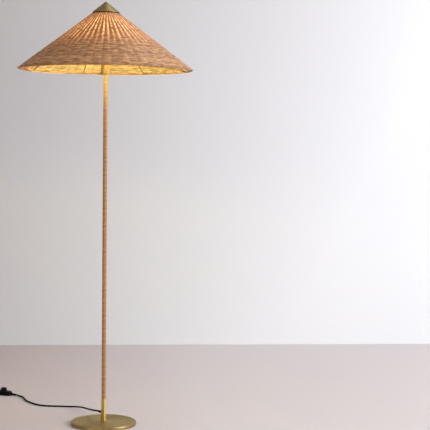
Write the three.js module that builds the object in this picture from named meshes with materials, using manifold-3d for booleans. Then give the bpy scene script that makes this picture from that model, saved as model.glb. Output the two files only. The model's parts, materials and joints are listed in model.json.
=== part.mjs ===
// Rattan floor lamp: a weighted brass disc, a cane-wrapped stem, a woven cone shade on a wire frame
// and a mains lead with a foot switch.
// Millimetres, +Z up, origin on the floor under the middle of the stem.

import * as THREE from 'three';
import { mergeVertices } from 'three/addons/utils/BufferGeometryUtils.js';
import Module from 'manifold-3d';

const wasm = await Module();
wasm.setup();

// Clearances that many pieces share

const seatGap = 0.3;
const boltClearance = 0.4;
const floorGap = 0.1;
const cutOverrun = 2;
const weldTolerance = 1e-5;

// How finely round shapes are cut into flats

const wideSides = 48;
const roundSides = 24;
const smallSides = 12;
const wireSides = 8;
const cornerSteps = 3;

// Base: pad, iron weight and spun brass cover, held together by one stud

const baseDiameter = 232;
const baseHeight = 12;
const coverWall = 1.5;
const coverEdgeRadius = 3;
const coverSkirtLift = 1.2;
const padDiameter = 206;
const padThickness = 2;
const weightChamfer = 1.5;
const studDiameter = 8;
const nutWidth = 13;
const nutThickness = 3;
const washerDiameter = 20;
const washerThickness = 1.2;
const counterboreMargin = 1.5;

// Stem: steel tube, cane winding and the brass sleeve that hides the cord outlet

const stemHeight = 1242;
const tubeDiameter = 13.5;
const tubeWall = 1;
const wrapDiameter = 15.5;
const sleeveDiameter = 17.5;
const sleeveWall = 1.2;
const sleeveTopHeight = 91;
const sleeveChamfer = 0.4;
const bushingLength = 18;
const nippleBore = 5.8;
const nippleRise = 6;

// Mains cord and its outlet in the sleeve

const cordDiameter = 6;
const cordSides = 8;
const cordExitHeight = 42;
const cordExitDegrees = 125;
const outletNeckDiameter = 9.4;
const outletCollarDiameter = 11.6;
const outletCollarThickness = 2.4;
const outletTipDiameter = 7.8;
const outletReach = 30;
const flexDiameter = 4.4;
const flexInset = 1;
const flexEndRise = 8.5;

// Lampholder in its brass cup

const cupDiameter = 34.5;
const cupHeight = 60;
const cupWall = 1;
const cupFloor = 1.2;
const cupCornerRadius = 3;
const cupChamfer = 0.4;
const cupNutWidth = 12;
const holderRise = 8;
const holderBore = 28;
const holderFloorHeight = 22;
const holderNutPocketDiameter = 19;
const holderNutPocketHeight = 10;
const shellWall = 0.35;
const shellLength = 26;
const contactDiameter = 9;
const contactThickness = 1.2;
const ringNutDiameter = 38;
const ringNutThickness = 5;
const ringNutNotches = 16;
const ringNutNotchDepth = 0.8;

// Bulb with a 27 mm screw cap

const bulbDiameter = 60;
const bulbCapDiameter = 26;
const bulbCapLength = 25;
const bulbTipDiameter = 9.6;
const bulbTipHeight = 1.8;
const glassLength = 79;
const glassWall = 1;
const glassRadiusShares = [0.42, 0.43, 0.45, 0.6, 0.85, 1, 0.98, 0.83, 0.57, 0.28];
const glassHeightShares = [0, 0.13, 0.23, 0.37, 0.5, 0.63, 0.75, 0.87, 0.95, 0.99];
const capInsulatorShares = [0.42, 0.88];

// Shade carrier: a wire bow round the bulb that ends in a threaded stud

const bowWire = 3;
const bowHalfWidth = 40;
const bowSteps = 34;
const bowLugOffset = 23;
const bowLugDiameter = 6.4;
const bowLugHeight = 7;
const bowTabWidth = 7;
const bowPlateThickness = 1.5;
const bowPlateDiameter = 38;
const bowWidthShares = [0.66, 0.9, 1, 0.9, 0.6, 0.35, 0.18];
const bowHeightShares = [0.065, 0.16, 0.3, 0.53, 0.79, 0.93, 0.985];
const saddleDiameter = 13;
const saddleHeight = 10;
const saddleWireDepth = 6;
const shadeStudDiameter = 6.4;
const shadeStudReach = 13;

// Woven shade with its rolled border

const shadeDiameter = 616;
const rimRise = 20;
const rimHeight = stemHeight + rimRise;
const shadePitchDegrees = 37;
const borderSection = 7;
const borderSides = 8;
const stakeCount = 56;
const courseCount = 12;
const weaveThickness = 4;
const rimBulge = 1.6;
const crownBulge = 0.3;
const crownRadius = 11;

// Wire frame inside the shade

const frameWire = 3;
const frameWireCount = 8;
const frameWireFirstDegrees = 16.5;
const frameRingWire = 4;
const frameRingSetback = 6;
const frameRingSides = 6;
const hubDiameter = 40;
const hubThickness = 2;
const hubWireInset = 4;

// Brass cap that screws down over the top of the shade

const capDiameter = 97;
const capPitchDegrees = 39.2;
const capWall = 1.2;
const capStandOff = 2.4;
const bossDiameter = 14;
const bossBoreMargin = 2;

// Foot switch: its middle on the floor, and the way it points

const switchX = -396;
const switchY = 549;
const switchTurnDegrees = -36;
const switchLength = 78;
const switchWidth = 40;
const switchHeight = 17;
const switchParting = 6;
const switchWall = 2;
const switchSides = 24;
const switchSquareness = 2.6;
const trayHeightShares = [0, 0.25, 1];
const traySizeShares = [0.94, 1, 1];
const domeHeightShares = [0, 0.45, 0.8, 1];
const domeSizeShares = [1, 0.97, 0.9, 0.8];
const buttonDiameter = 22.4;
const buttonHeight = 28.5;
const buttonClearance = 0.4;
const buttonFlangeWidth = 1.6;
const buttonFlangeThickness = 1.7;
const buttonEdgeRadius = 1.6;
const buttonRecessDiameter = 11;
const buttonRecessDepth = 9;
const collarWidth = 2.4;
const collarRise = 1.2;
const blockLength = 22;
const blockWidth = 15;
const blockHeight = 6;
const springDiameter = 8;
const springWire = 0.9;
const springCurls = 5;
const springStepsPerCurl = 8;
const springSides = 5;
const screwOffset = 26;
const screwHeadDiameter = 5.8;
const screwHeadHeight = 1.6;
const screwShankDiameter = 2.8;
const screwLength = 11;
const postDiameter = 9;
const glandNeckDiameter = 7.6;
const glandNeckInside = 3;
const glandCollarDiameter = 10.4;
const glandCollarThickness = 2;
const glandTaperLength = 20;
const glandRootDiameter = 9.4;
const glandTipDiameter = 7.8;

// Spare cord in a round coil, tied, with the plug beside it

const coilMeanDiameter = 70;
const coilTurnsPerLayer = 3;
const coilPitch = 6.6;
const coilStepsPerTurn = 24;
const coilSides = 6;
const runLength = 56;
const tailLength = 44;
const tieThickness = 0.8;
const tieWidth = 12;
const tieDegrees = 150;
const tieSlack = 0.4;
const plugLengthwise = 38;
const plugWidth = 35;
const plugThickness = 14;
const plugSides = 20;
const plugSquareness = 3;
const plugStationShares = [0, 0.16, 0.58, 0.95, 1];
const plugWidthShares = [0.46, 0.7, 0.97, 1, 0.96];
const plugThicknessShares = [0.78, 0.93, 0.98, 1, 0.94];
const bootLength = 24;
const bootRootDiameter = 10.4;
const pinDiameter = 4;
const pinLength = 19;
const pinSpacing = 19;
const pinTipShare = 0.4;

// Places where the cord from stem to switch lies, chosen by hand; its two ends follow from the pieces it meets

const leadPoints = [
  [-34, 50, 39.6], [-44, 80, 35.5], [-54, 115, 30.5], [-65.5, 161, 24], [-77, 205, 18], [-92, 247, 11.5],
  [-107, 271, 7.5], [-124, 286, 5], [-146, 296, 3.6], [-170, 302, 3.3], [-200, 307, 3.2], [-227, 316, 3.2],
  [-253, 336, 3.2], [-277, 370, 3.2], [-297, 410, 3.2], [-307, 445, 3.2], [-312.5, 470, 3.2], [-318, 487, 3.2],
  [-324.5, 498, 3.3], [-334, 504.5, 4],
];
const leadSteps = 66;

// Places worked out from the sizes above

const radians = THREE.MathUtils.degToRad;
const coverHole = studDiameter / 2 + boltClearance;
const weightBottom = padThickness + seatGap;
const weightTop = baseHeight - coverWall - seatGap;
const nutBottom = weightBottom + seatGap;
const washerBottom = nutBottom + nutThickness + seatGap;
const counterboreTop = washerBottom + washerThickness + seatGap;
const stemBottom = baseHeight + seatGap;
const tubeBore = tubeDiameter / 2 - tubeWall;
const cordExit = new THREE.Vector3(Math.cos(radians(cordExitDegrees)), Math.sin(radians(cordExitDegrees)), 0);
const shadePitch = radians(shadePitchDegrees);
const slopeDown = new THREE.Vector2(Math.cos(shadePitch), -Math.sin(shadePitch));
const slopeOut = new THREE.Vector2(Math.sin(shadePitch), Math.cos(shadePitch));
const borderCentre = (shadeDiameter - borderSection) / 2;
const hubTop = weaveFaceHeight(hubDiameter / 2, -1) - seatGap;
const hubBottom = hubTop - hubThickness;
const saddleTop = hubBottom - seatGap;
const bossBottom = hubTop + seatGap;
const shadeStudTop = bossBottom + shadeStudReach;
const capPitch = radians(capPitchDegrees);
const capBottom = weaveFaceHeight(capDiameter / 2, 1) + capStandOff;
const capTip = capBottom + capDiameter / 2 * Math.tan(capPitch);
const bowPlateBottom = stemHeight + cupHeight + seatGap;
const bowFoot = bowPlateBottom + bowPlateThickness + bowLugHeight + seatGap;
const bowTop = saddleTop - saddleHeight + saddleWireDepth;
const contactTop = stemHeight + holderFloorHeight + seatGap + contactThickness;
const bulbBottom = contactTop + seatGap;
const glandHeight = switchParting + seatGap / 2;
const glandTip = switchLength / 2 + seatGap + glandCollarThickness + glandTaperLength;
const domeBottom = switchParting + seatGap;
const flangeTop = switchHeight - switchWall - seatGap;
const flangeBottom = flangeTop - buttonFlangeThickness;
const coilLift = tieThickness + seatGap;
const coilTurns = 2 * coilTurnsPerLayer;
const coilOuter = coilMeanDiameter / 2 + coilTurnsPerLayer * coilPitch / 2;
const coilInner = coilMeanDiameter / 2 - coilTurnsPerLayer * coilPitch / 2;

// Height of the weave's middle surface, and of its outer (side 1) or inner (side -1) face, over a radius

function weaveMidHeight(radius) {
  return rimHeight + (borderCentre - radius) * Math.tan(shadePitch);
}

function bulgeAt(radius) {
  return THREE.MathUtils.lerp(crownBulge, rimBulge, radius / borderCentre);
}

function weaveFaceHeight(radius, side) {
  const standOff = weaveThickness / 2 + bulgeAt(radius);
  return weaveMidHeight(radius) + side * standOff / Math.cos(shadePitch);
}

// Finishes, one new material for each piece

const finishes = {
  satinBrass: { color: 0xa98a58, roughness: 0.38, metalness: 1 },
  polishedBrass: { color: 0xb98f45, roughness: 0.18, metalness: 1 },
  castIron: { color: 0x2c2c2e, roughness: 0.75, metalness: 0.6 },
  steel: { color: 0x9b9da0, roughness: 0.4, metalness: 1 },
  blackWire: { color: 0x2a2520, roughness: 0.5, metalness: 0.6 },
  felt: { color: 0x1d1c1b, roughness: 0.95, metalness: 0 },
  cane: { color: 0x96764f, roughness: 0.55, metalness: 0 },
  rattan: { color: 0xa27f58, roughness: 0.6, metalness: 0 },
  phenolic: { color: 0x1a1a1b, roughness: 0.45, metalness: 0 },
  porcelain: { color: 0xe9e6df, roughness: 0.25, metalness: 0 },
  contactBrass: { color: 0xc2a04e, roughness: 0.3, metalness: 1 },
  opalGlass: { color: 0xf4efe4, roughness: 0.2, metalness: 0 },
  nickel: { color: 0xb9b7b0, roughness: 0.25, metalness: 1 },
  rubber: { color: 0x141414, roughness: 0.7, metalness: 0 },
  blackPlastic: { color: 0x161616, roughness: 0.45, metalness: 0 },
  blackFabric: { color: 0x191919, roughness: 0.9, metalness: 0 },
};

function piece(name, finish, geometry) {
  const mesh = new THREE.Mesh(weld(geometry), new THREE.MeshStandardMaterial(finishes[finish]));
  mesh.name = name;
  return mesh;
}

function raised(mesh, height) {
  mesh.position.z = height;
  return mesh;
}

function along(x, y, z, turn, ...children) {
  const group = new THREE.Group();
  group.position.set(x, y, z);
  group.rotation.z = turn;
  group.add(...children);
  return group;
}

// Closed meshes: shared corners are merged, slivers dropped, faces turned outwards

function signedVolume(positions, triangles) {
  const a = new THREE.Vector3();
  const b = new THREE.Vector3();
  const c = new THREE.Vector3();
  let total = 0;
  for (let i = 0; i < triangles.length; i += 3) {
    a.fromBufferAttribute(positions, triangles[i]);
    b.fromBufferAttribute(positions, triangles[i + 1]);
    c.fromBufferAttribute(positions, triangles[i + 2]);
    total += a.dot(b.cross(c));
  }
  return total;
}

function weld(geometry) {
  const bare = geometry.clone();
  bare.deleteAttribute('normal');
  bare.deleteAttribute('uv');
  const merged = mergeVertices(bare, weldTolerance);
  const corners = merged.index.array;
  const kept = [];
  for (let i = 0; i < corners.length; i += 3) {
    const [a, b, c] = corners.subarray(i, i + 3);
    if (a !== b && b !== c && c !== a) {
      kept.push(a, b, c);
    }
  }
  if (signedVolume(merged.attributes.position, kept) < 0) {
    kept.reverse();
  }
  merged.setIndex(kept);
  return merged;
}

function solid(geometry) {
  const closed = weld(geometry);
  return new wasm.Manifold(new wasm.Mesh({
    numProp: 3,
    vertProperties: new Float32Array(closed.attributes.position.array),
    triVerts: new Uint32Array(closed.index.array),
  }));
}

function surface(body) {
  const mesh = body.getMesh();
  const geometry = new THREE.BufferGeometry();
  geometry.setAttribute('position', new THREE.BufferAttribute(mesh.vertProperties, 3));
  geometry.setIndex(Array.from(mesh.triVerts));
  return geometry;
}

function cut(geometry, ...cutters) {
  return surface(cutters.reduce((body, cutter) => body.subtract(solid(cutter)), solid(geometry)));
}

function join(first, ...others) {
  return surface(others.reduce((body, other) => body.add(solid(other)), solid(first)));
}

// Turned shapes: an outline is a list of [radius, height]

function turned(outline, sides) {
  const points = outline.map(([radius, height]) => new THREE.Vector2(radius, height));
  return new THREE.LatheGeometry(points, sides).rotateX(Math.PI / 2);
}

function disc(radius, height, sides) {
  return turned([[0, 0], [radius, 0], [radius, height], [0, height]], sides);
}

function tube(outer, inner, height, sides) {
  return turned([[inner, 0], [outer, 0], [outer, height], [inner, height], [inner, 0]], sides);
}

function corner(x, z, radius, fromDegrees, toDegrees) {
  const points = [];
  for (let i = 0; i <= cornerSteps; i++) {
    const angle = radians(THREE.MathUtils.lerp(fromDegrees, toDegrees, i / cornerSteps));
    points.push([x + radius * Math.cos(angle), z + radius * Math.sin(angle)]);
  }
  return points;
}

// A turned shape laid along +X

function lying(geometry) {
  return geometry.rotateY(Math.PI / 2);
}

function hexNut(width, thickness, bore) {
  const outline = new THREE.Shape(regularPoints(width / 2 / Math.cos(Math.PI / 6), 6));
  outline.holes.push(new THREE.Path(regularPoints(bore, smallSides)));
  return new THREE.ExtrudeGeometry(outline, { depth: thickness, bevelEnabled: false });
}

function regularPoints(radius, count) {
  const points = [];
  for (let i = 0; i < count; i++) {
    const angle = 2 * Math.PI * i / count;
    points.push(new THREE.Vector2(radius * Math.cos(angle), radius * Math.sin(angle)));
  }
  return points;
}

// Round wire or cable along a curve

function cable(curve, radius, sides, steps) {
  const section = new THREE.Shape(regularPoints(radius, sides));
  return new THREE.ExtrudeGeometry(section, { steps, bevelEnabled: false, extrudePath: curve });
}

function smoothCurve(points) {
  return new THREE.CatmullRomCurve3(points, false, 'centripetal');
}

// A wound tube: rings of corners square to the path, joined in turn and closed at both ends

function woundTube(path, radius, sides) {
  const rings = path.map((centre, i) => {
    const before = path[Math.max(i - 1, 0)];
    const after = path[Math.min(i + 1, path.length - 1)];
    const way = new THREE.Vector3().subVectors(after, before).normalize();
    const sideways = new THREE.Vector3(-way.y, way.x, 0).normalize();
    const upwards = new THREE.Vector3().crossVectors(way, sideways);
    return regularPoints(radius, sides).map((corner2) => centre.clone()
      .addScaledVector(sideways, corner2.x)
      .addScaledVector(upwards, corner2.y));
  });
  return loft(rings);
}

// Skin over a row of rings with equal numbers of corners, with flat ends

function loft(rings) {
  const sides = rings[0].length;
  const positions = rings.flat().flatMap((point) => point.toArray());
  const triangles = [];
  for (let j = 0; j + 1 < rings.length; j++) {
    for (let i = 0; i < sides; i++) {
      const a = j * sides + i;
      const b = j * sides + (i + 1) % sides;
      triangles.push(a, b, b + sides, a, b + sides, a + sides);
    }
  }
  const last = (rings.length - 1) * sides;
  for (let i = 1; i + 1 < sides; i++) {
    triangles.push(0, i + 1, i, last, last + i, last + i + 1);
  }
  const geometry = new THREE.BufferGeometry();
  geometry.setAttribute('position', new THREE.Float32BufferAttribute(positions, 3));
  geometry.setIndex(triangles);
  return geometry;
}

// Corner of a rounded oval: the power sets how square it is

function ovalPoint(halfA, halfB, power, turn) {
  const round = (value) => Math.sign(value) * Math.abs(value) ** (2 / power);
  return [halfA * round(Math.cos(turn)), halfB * round(Math.sin(turn))];
}

// Base

function basePad() {
  return raised(piece('base_pad', 'felt', disc(padDiameter / 2, padThickness, wideSides)), 0);
}

function baseWeight() {
  const outer = baseDiameter / 2 - coverWall - seatGap;
  const counterbore = washerDiameter / 2 + counterboreMargin;
  const thickness = weightTop - weightBottom;
  const ceiling = counterboreTop - weightBottom;
  const outline = [
    [coverHole, ceiling],
    [counterbore, ceiling],
    [counterbore, 0],
    [outer, 0],
    [outer, thickness - weightChamfer],
    [outer - weightChamfer, thickness],
    [coverHole, thickness],
    [coverHole, ceiling],
  ];
  return raised(piece('base_weight', 'castIron', turned(outline, wideSides)), weightBottom);
}

function baseCover() {
  const outer = baseDiameter / 2;
  const bend = outer - coverEdgeRadius;
  const bendHeight = baseHeight - coverEdgeRadius;
  const outline = [
    [coverHole, baseHeight - coverWall],
    ...corner(bend, bendHeight, coverEdgeRadius - coverWall, 90, 0),
    [outer - coverWall, coverSkirtLift],
    [outer, coverSkirtLift],
    ...corner(bend, bendHeight, coverEdgeRadius, 0, 90),
    [coverHole, baseHeight],
    [coverHole, baseHeight - coverWall],
  ];
  return piece('base_cover', 'satinBrass', turned(outline, wideSides));
}

function baseStud() {
  const length = stemBottom + bushingLength - nutBottom;
  return raised(piece('base_stud', 'steel', disc(studDiameter / 2, length, smallSides)), nutBottom);
}

function baseNut() {
  return raised(piece('base_nut', 'steel', hexNut(nutWidth, nutThickness, coverHole)), nutBottom);
}

function baseWasher() {
  const geometry = tube(washerDiameter / 2, coverHole, washerThickness, smallSides);
  return raised(piece('base_washer', 'steel', geometry), washerBottom);
}

// Stem

function cordHole(diameter) {
  const bar = lying(disc(diameter / 2, outletReach, smallSides));
  return bar.rotateZ(radians(cordExitDegrees)).translate(0, 0, cordExitHeight - stemBottom);
}

function stemTube() {
  const body = tube(tubeDiameter / 2, tubeBore, stemHeight - seatGap - stemBottom, roundSides);
  return raised(piece('stem_tube', 'steel', cut(body, cordHole(flexDiameter + 2 * boltClearance))), stemBottom);
}

function stemBushing(name, height) {
  const geometry = tube(tubeBore - seatGap, coverHole, bushingLength, smallSides);
  return raised(piece(name, 'contactBrass', geometry), height);
}

function lowerSleeve() {
  const outer = sleeveDiameter / 2;
  const inner = outer - sleeveWall;
  const length = sleeveTopHeight - stemBottom;
  const outline = [
    [inner, 0],
    [outer, 0],
    [outer, length - sleeveChamfer],
    [outer - sleeveChamfer, length],
    [inner, length],
    [inner, 0],
  ];
  const body = cut(turned(outline, roundSides), cordHole(outletNeckDiameter + 2 * seatGap));
  return raised(piece('lower_sleeve', 'polishedBrass', body), stemBottom);
}

function stemWrap() {
  const bottom = sleeveTopHeight + seatGap;
  const length = stemHeight - seatGap - bottom;
  const geometry = tube(wrapDiameter / 2, tubeDiameter / 2 + seatGap, length, roundSides);
  return raised(piece('stem_wrap', 'cane', geometry), bottom);
}

function cordOutlet() {
  const root = tubeDiameter / 2 + seatGap;
  const face = sleeveDiameter / 2 + seatGap;
  const bore = flexDiameter / 2 + boltClearance;
  const neck = outletNeckDiameter / 2;
  const outline = [
    [bore, root],
    [neck, root],
    [neck, face],
    [outletCollarDiameter / 2, face],
    [outletCollarDiameter / 2, face + outletCollarThickness],
    [neck, face + outletCollarThickness],
    [outletTipDiameter / 2, outletReach],
    [bore, outletReach],
    [bore, root],
  ];
  const bush = piece('cord_outlet', 'rubber', lying(turned(outline, smallSides)));
  return along(0, 0, cordExitHeight, radians(cordExitDegrees), bush);
}

function innerFlex() {
  const bend = tubeBore;
  const foot = smoothCurve([
    cordExit.clone().multiplyScalar(outletReach - flexInset),
    cordExit.clone().multiplyScalar(2 * bend),
    cordExit.clone().multiplyScalar(bend),
    cordExit.clone().multiplyScalar(bend / 4).setZ(bend / 4),
    new THREE.Vector3(0, 0, bend),
    new THREE.Vector3(0, 0, 3 * bend),
  ]);
  const riserBottom = 2 * bend;
  const riserLength = stemHeight + flexEndRise - cordExitHeight - riserBottom;
  const riser = disc(flexDiameter / 2, riserLength, wireSides).translate(0, 0, riserBottom);
  const geometry = join(cable(foot, flexDiameter / 2, wireSides, smallSides), riser);
  return raised(piece('inner_flex', 'rubber', geometry), cordExitHeight);
}

// Lampholder

function topNipple() {
  const geometry = tube(studDiameter / 2, nippleBore / 2, bushingLength + nippleRise, smallSides);
  return raised(piece('top_nipple', 'steel', geometry), stemHeight - bushingLength);
}

function socketCup() {
  const outer = cupDiameter / 2;
  const outline = [
    [coverHole, 0],
    ...corner(outer - cupCornerRadius, cupCornerRadius, cupCornerRadius, -90, 0),
    [outer, cupHeight - cupChamfer],
    [outer - cupChamfer, cupHeight],
    [outer - cupWall, cupHeight],
    [outer - cupWall, cupFloor],
    [coverHole, cupFloor],
    [coverHole, 0],
  ];
  return raised(piece('socket_cup', 'polishedBrass', turned(outline, roundSides)), stemHeight);
}

function cupNut() {
  const geometry = hexNut(cupNutWidth, nutThickness, coverHole);
  return raised(piece('cup_nut', 'steel', geometry), stemHeight + cupFloor + seatGap);
}

function lampholderBody() {
  const outer = cupDiameter / 2 - cupWall - seatGap;
  const bottom = cupFloor + seatGap;
  const outline = [
    [0, holderNutPocketHeight - bottom],
    [holderNutPocketDiameter / 2, holderNutPocketHeight - bottom],
    [holderNutPocketDiameter / 2, 0],
    [outer, 0],
    [outer, cupHeight + holderRise - bottom],
    [holderBore / 2, cupHeight + holderRise - bottom],
    [holderBore / 2, holderFloorHeight - bottom],
    [0, holderFloorHeight - bottom],
  ];
  return raised(piece('lampholder_body', 'porcelain', turned(outline, roundSides)), stemHeight + bottom);
}

function screwShell() {
  const outer = holderBore / 2 - seatGap;
  const geometry = tube(outer, outer - shellWall, shellLength, roundSides);
  return raised(piece('screw_shell', 'contactBrass', geometry), stemHeight + holderFloorHeight + seatGap);
}

function centreContact() {
  const outline = [
    [0, 0],
    [contactDiameter / 2, 0],
    [contactDiameter / 2, contactThickness / 2],
    [contactDiameter / 4, contactThickness],
    [0, contactThickness],
  ];
  const contact = piece('centre_contact', 'contactBrass', turned(outline, smallSides));
  return raised(contact, contactTop - contactThickness);
}

function holderRingNut() {
  const outer = ringNutDiameter / 2;
  const bore = cupDiameter / 2 - cupWall;
  const body = tube(outer, bore, ringNutThickness, roundSides);
  const notches = [];
  for (let i = 0; i < ringNutNotches; i++) {
    const notch = disc(2 * ringNutNotchDepth, ringNutThickness + 2 * cutOverrun, wireSides);
    notch.translate(outer + ringNutNotchDepth, 0, -cutOverrun);
    notches.push(notch.rotateZ(2 * Math.PI * i / ringNutNotches));
  }
  const height = bowPlateBottom + bowPlateThickness + seatGap;
  return raised(piece('holder_ring_nut', 'polishedBrass', cut(body, ...notches)), height);
}

// Bulb

function bulbTip() {
  const radius = bulbTipDiameter / 2;
  const outline = [[0, 0], [radius / 2, 0], [radius, bulbTipHeight / 2], [radius, bulbTipHeight], [0, bulbTipHeight]];
  return raised(piece('bulb_tip', 'nickel', turned(outline, smallSides)), bulbBottom);
}

function bulbCap() {
  const radius = bulbCapDiameter / 2;
  const [tipShare, shoulderShare] = capInsulatorShares;
  const outline = [
    [0, 0],
    [radius * tipShare, 0],
    [radius * shoulderShare, bulbTipDiameter / 2],
    [radius, bulbTipDiameter / 2],
    [radius, bulbCapLength],
    [0, bulbCapLength],
  ];
  return raised(piece('bulb_cap', 'nickel', turned(outline, roundSides)), bulbBottom + bulbTipHeight + seatGap);
}

function bulbGlass() {
  const radius = bulbDiameter / 2;
  const rows = glassRadiusShares.map((share, i) => [radius * share, glassLength * glassHeightShares[i]]);
  const inner = rows.map(([r, z]) => [r - glassWall, z * (1 - glassWall / glassLength)]);
  const outline = [[0, glassLength - glassWall], ...inner.reverse(), ...rows, [0, glassLength]];
  const bottom = bulbBottom + bulbTipHeight + bulbCapLength + 2 * seatGap;
  return raised(piece('bulb_glass', 'opalGlass', turned(outline, roundSides)), bottom);
}

// Shade carrier

function bowCurve() {
  const rise = bowTop - bowFoot;
  const side = [new THREE.Vector3(bowLugOffset, 0, 0), new THREE.Vector3(bowLugOffset, 0, bowWire)];
  bowWidthShares.forEach((share, i) => {
    side.push(new THREE.Vector3(bowHalfWidth * share, 0, rise * bowHeightShares[i]));
  });
  const mirrored = side.map((point) => new THREE.Vector3(-point.x, 0, point.z)).reverse();
  return smoothCurve([...side, new THREE.Vector3(0, 0, rise), ...mirrored]);
}

function carrierBow() {
  return raised(piece('carrier_bow', 'blackWire', cable(bowCurve(), bowWire / 2, wireSides, bowSteps)), bowFoot);
}

function carrierPlate() {
  const ring = tube(bowPlateDiameter / 2, cupDiameter / 2 - cupWall, bowPlateThickness, roundSides);
  const tabInner = bowPlateDiameter / 2 - cutOverrun;
  const tabLength = bowLugOffset + bowTabWidth / 2 - tabInner;
  const additions = [];
  for (const side of [-1, 1]) {
    const tab = new THREE.BoxGeometry(tabLength, bowTabWidth, bowPlateThickness);
    tab.translate(side * (tabInner + tabLength / 2), 0, bowPlateThickness / 2);
    const lug = disc(bowLugDiameter / 2, bowPlateThickness + bowLugHeight, smallSides);
    lug.translate(side * bowLugOffset, 0, 0);
    additions.push(tab, lug);
  }
  return raised(piece('carrier_plate', 'blackWire', join(ring, ...additions)), bowPlateBottom);
}

function carrierStud() {
  const radius = shadeStudDiameter / 2;
  const top = shadeStudTop - saddleTop + saddleHeight;
  const outline = [
    [0, 0],
    [saddleDiameter / 2, 0],
    [saddleDiameter / 2, saddleHeight],
    [radius, saddleHeight],
    [radius, top - cupChamfer],
    [radius - cupChamfer, top],
    [0, top],
  ];
  const groove = cable(bowCurve(), bowWire / 2 + seatGap, wireSides, bowSteps);
  groove.translate(0, 0, bowFoot - saddleTop + saddleHeight);
  const geometry = cut(turned(outline, smallSides), groove);
  return raised(piece('carrier_stud', 'steel', geometry), saddleTop - saddleHeight);
}

// Shade frame

function frameHub() {
  const bore = shadeStudDiameter / 2 + boltClearance;
  return raised(piece('frame_hub', 'blackWire', tube(hubDiameter / 2, bore, hubThickness, roundSides)), hubBottom);
}

function frameRingCentre() {
  const standOff = weaveThickness / 2 + rimBulge + seatGap + frameRingWire / 2;
  return new THREE.Vector2(borderCentre, rimHeight)
    .addScaledVector(slopeDown, -frameRingSetback)
    .addScaledVector(slopeOut, -standOff);
}

function frameRing() {
  const centre = frameRingCentre();
  const geometry = new THREE.TorusGeometry(centre.x, frameRingWire / 2, frameRingSides, stakeCount);
  return raised(piece('frame_ring', 'blackWire', geometry), centre.y);
}

function frameWires() {
  const centre = frameRingCentre();
  const drop = frameWire / 2 / Math.cos(shadePitch) + seatGap;
  const start = new THREE.Vector2(hubDiameter / 2 - hubWireInset, hubBottom - drop);
  const way = centre.clone().sub(start);
  const length = way.length() - frameRingWire / 2 - seatGap;
  way.normalize();
  const wires = [];
  for (let i = 0; i < frameWireCount; i++) {
    const rod = piece(`frame_wire_${i + 1}`, 'blackWire', disc(frameWire / 2, length, wireSides));
    rod.position.set(start.x, 0, start.y);
    rod.rotation.y = Math.atan2(way.x, way.y);
    const turn = radians(frameWireFirstDegrees) + 2 * Math.PI * i / frameWireCount;
    wires.push(along(0, 0, 0, turn, rod));
  }
  return wires;
}

// Woven shade: at each upright stake the courses bow out or in by turns, and the next course does the reverse

function shadeWeave() {
  const bottom = borderCentre - (borderSection / 2 + seatGap) * slopeDown.x;
  const positions = [];
  for (const side of [1, -1]) {
    for (let j = 0; j <= courseCount; j++) {
      const radius = THREE.MathUtils.lerp(crownRadius, bottom, j / courseCount);
      for (let i = 0; i < stakeCount; i++) {
        const sway = (i + j) % 2 === 0 ? bulgeAt(radius) : -bulgeAt(radius);
        const standOff = side * weaveThickness / 2 + sway;
        const reach = radius + standOff * slopeOut.x;
        const height = weaveMidHeight(radius) - rimHeight + standOff * slopeOut.y;
        const angle = 2 * Math.PI * i / stakeCount;
        positions.push(reach * Math.cos(angle), reach * Math.sin(angle), height);
      }
    }
  }
  const geometry = new THREE.BufferGeometry();
  geometry.setAttribute('position', new THREE.Float32BufferAttribute(positions, 3));
  geometry.setIndex(wovenFaces());
  return raised(piece('shade_weave', 'rattan', geometry), rimHeight);
}

function wovenFaces() {
  const rows = courseCount + 1;
  const corner3 = (layer, row, i) => (layer * rows + row) * stakeCount + i % stakeCount;
  const triangles = [];
  const quad = (a, b, c, d, folded) => {
    if (folded) {
      triangles.push(a, b, d, b, c, d);
    } else {
      triangles.push(a, b, c, a, c, d);
    }
  };
  for (let i = 0; i < stakeCount; i++) {
    for (let j = 0; j < courseCount; j++) {
      const folded = (i + j) % 2 === 0;
      quad(corner3(0, j, i), corner3(0, j + 1, i), corner3(0, j + 1, i + 1), corner3(0, j, i + 1), folded);
      quad(corner3(1, j, i), corner3(1, j, i + 1), corner3(1, j + 1, i + 1), corner3(1, j + 1, i), folded);
    }
    quad(corner3(0, 0, i), corner3(0, 0, i + 1), corner3(1, 0, i + 1), corner3(1, 0, i), false);
    const last = courseCount;
    quad(corner3(0, last, i), corner3(1, last, i), corner3(1, last, i + 1), corner3(0, last, i + 1), false);
  }
  return triangles;
}

function shadeBorder() {
  const geometry = new THREE.TorusGeometry(borderCentre, borderSection / 2, borderSides, stakeCount);
  return raised(piece('shade_border', 'rattan', geometry), rimHeight);
}

// Cap

function capCone() {
  const radius = capDiameter / 2;
  const rise = capTip - capBottom;
  const wallRise = capWall / Math.cos(capPitch);
  const wallReach = capWall / Math.sin(capPitch);
  const outline = [[0, rise - wallRise], [radius - wallReach, 0], [radius, 0], [0, rise]];
  return raised(piece('cap_cone', 'polishedBrass', turned(outline, wideSides)), capBottom);
}

function capBoss() {
  const radius = bossDiameter / 2;
  const bore = shadeStudDiameter / 2 + seatGap;
  const innerTip = capTip - (capWall + seatGap) / Math.cos(capPitch) - bossBottom;
  const boreTop = shadeStudReach + bossBoreMargin;
  const outline = [
    [0, boreTop],
    [bore, boreTop],
    [bore, 0],
    [radius, 0],
    [radius, innerTip - radius * Math.tan(capPitch)],
    [0, innerTip],
  ];
  return raised(piece('cap_boss', 'steel', turned(outline, roundSides)), bossBottom);
}

// Foot switch, its length along X with the stem's cord coming in at +X

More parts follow.
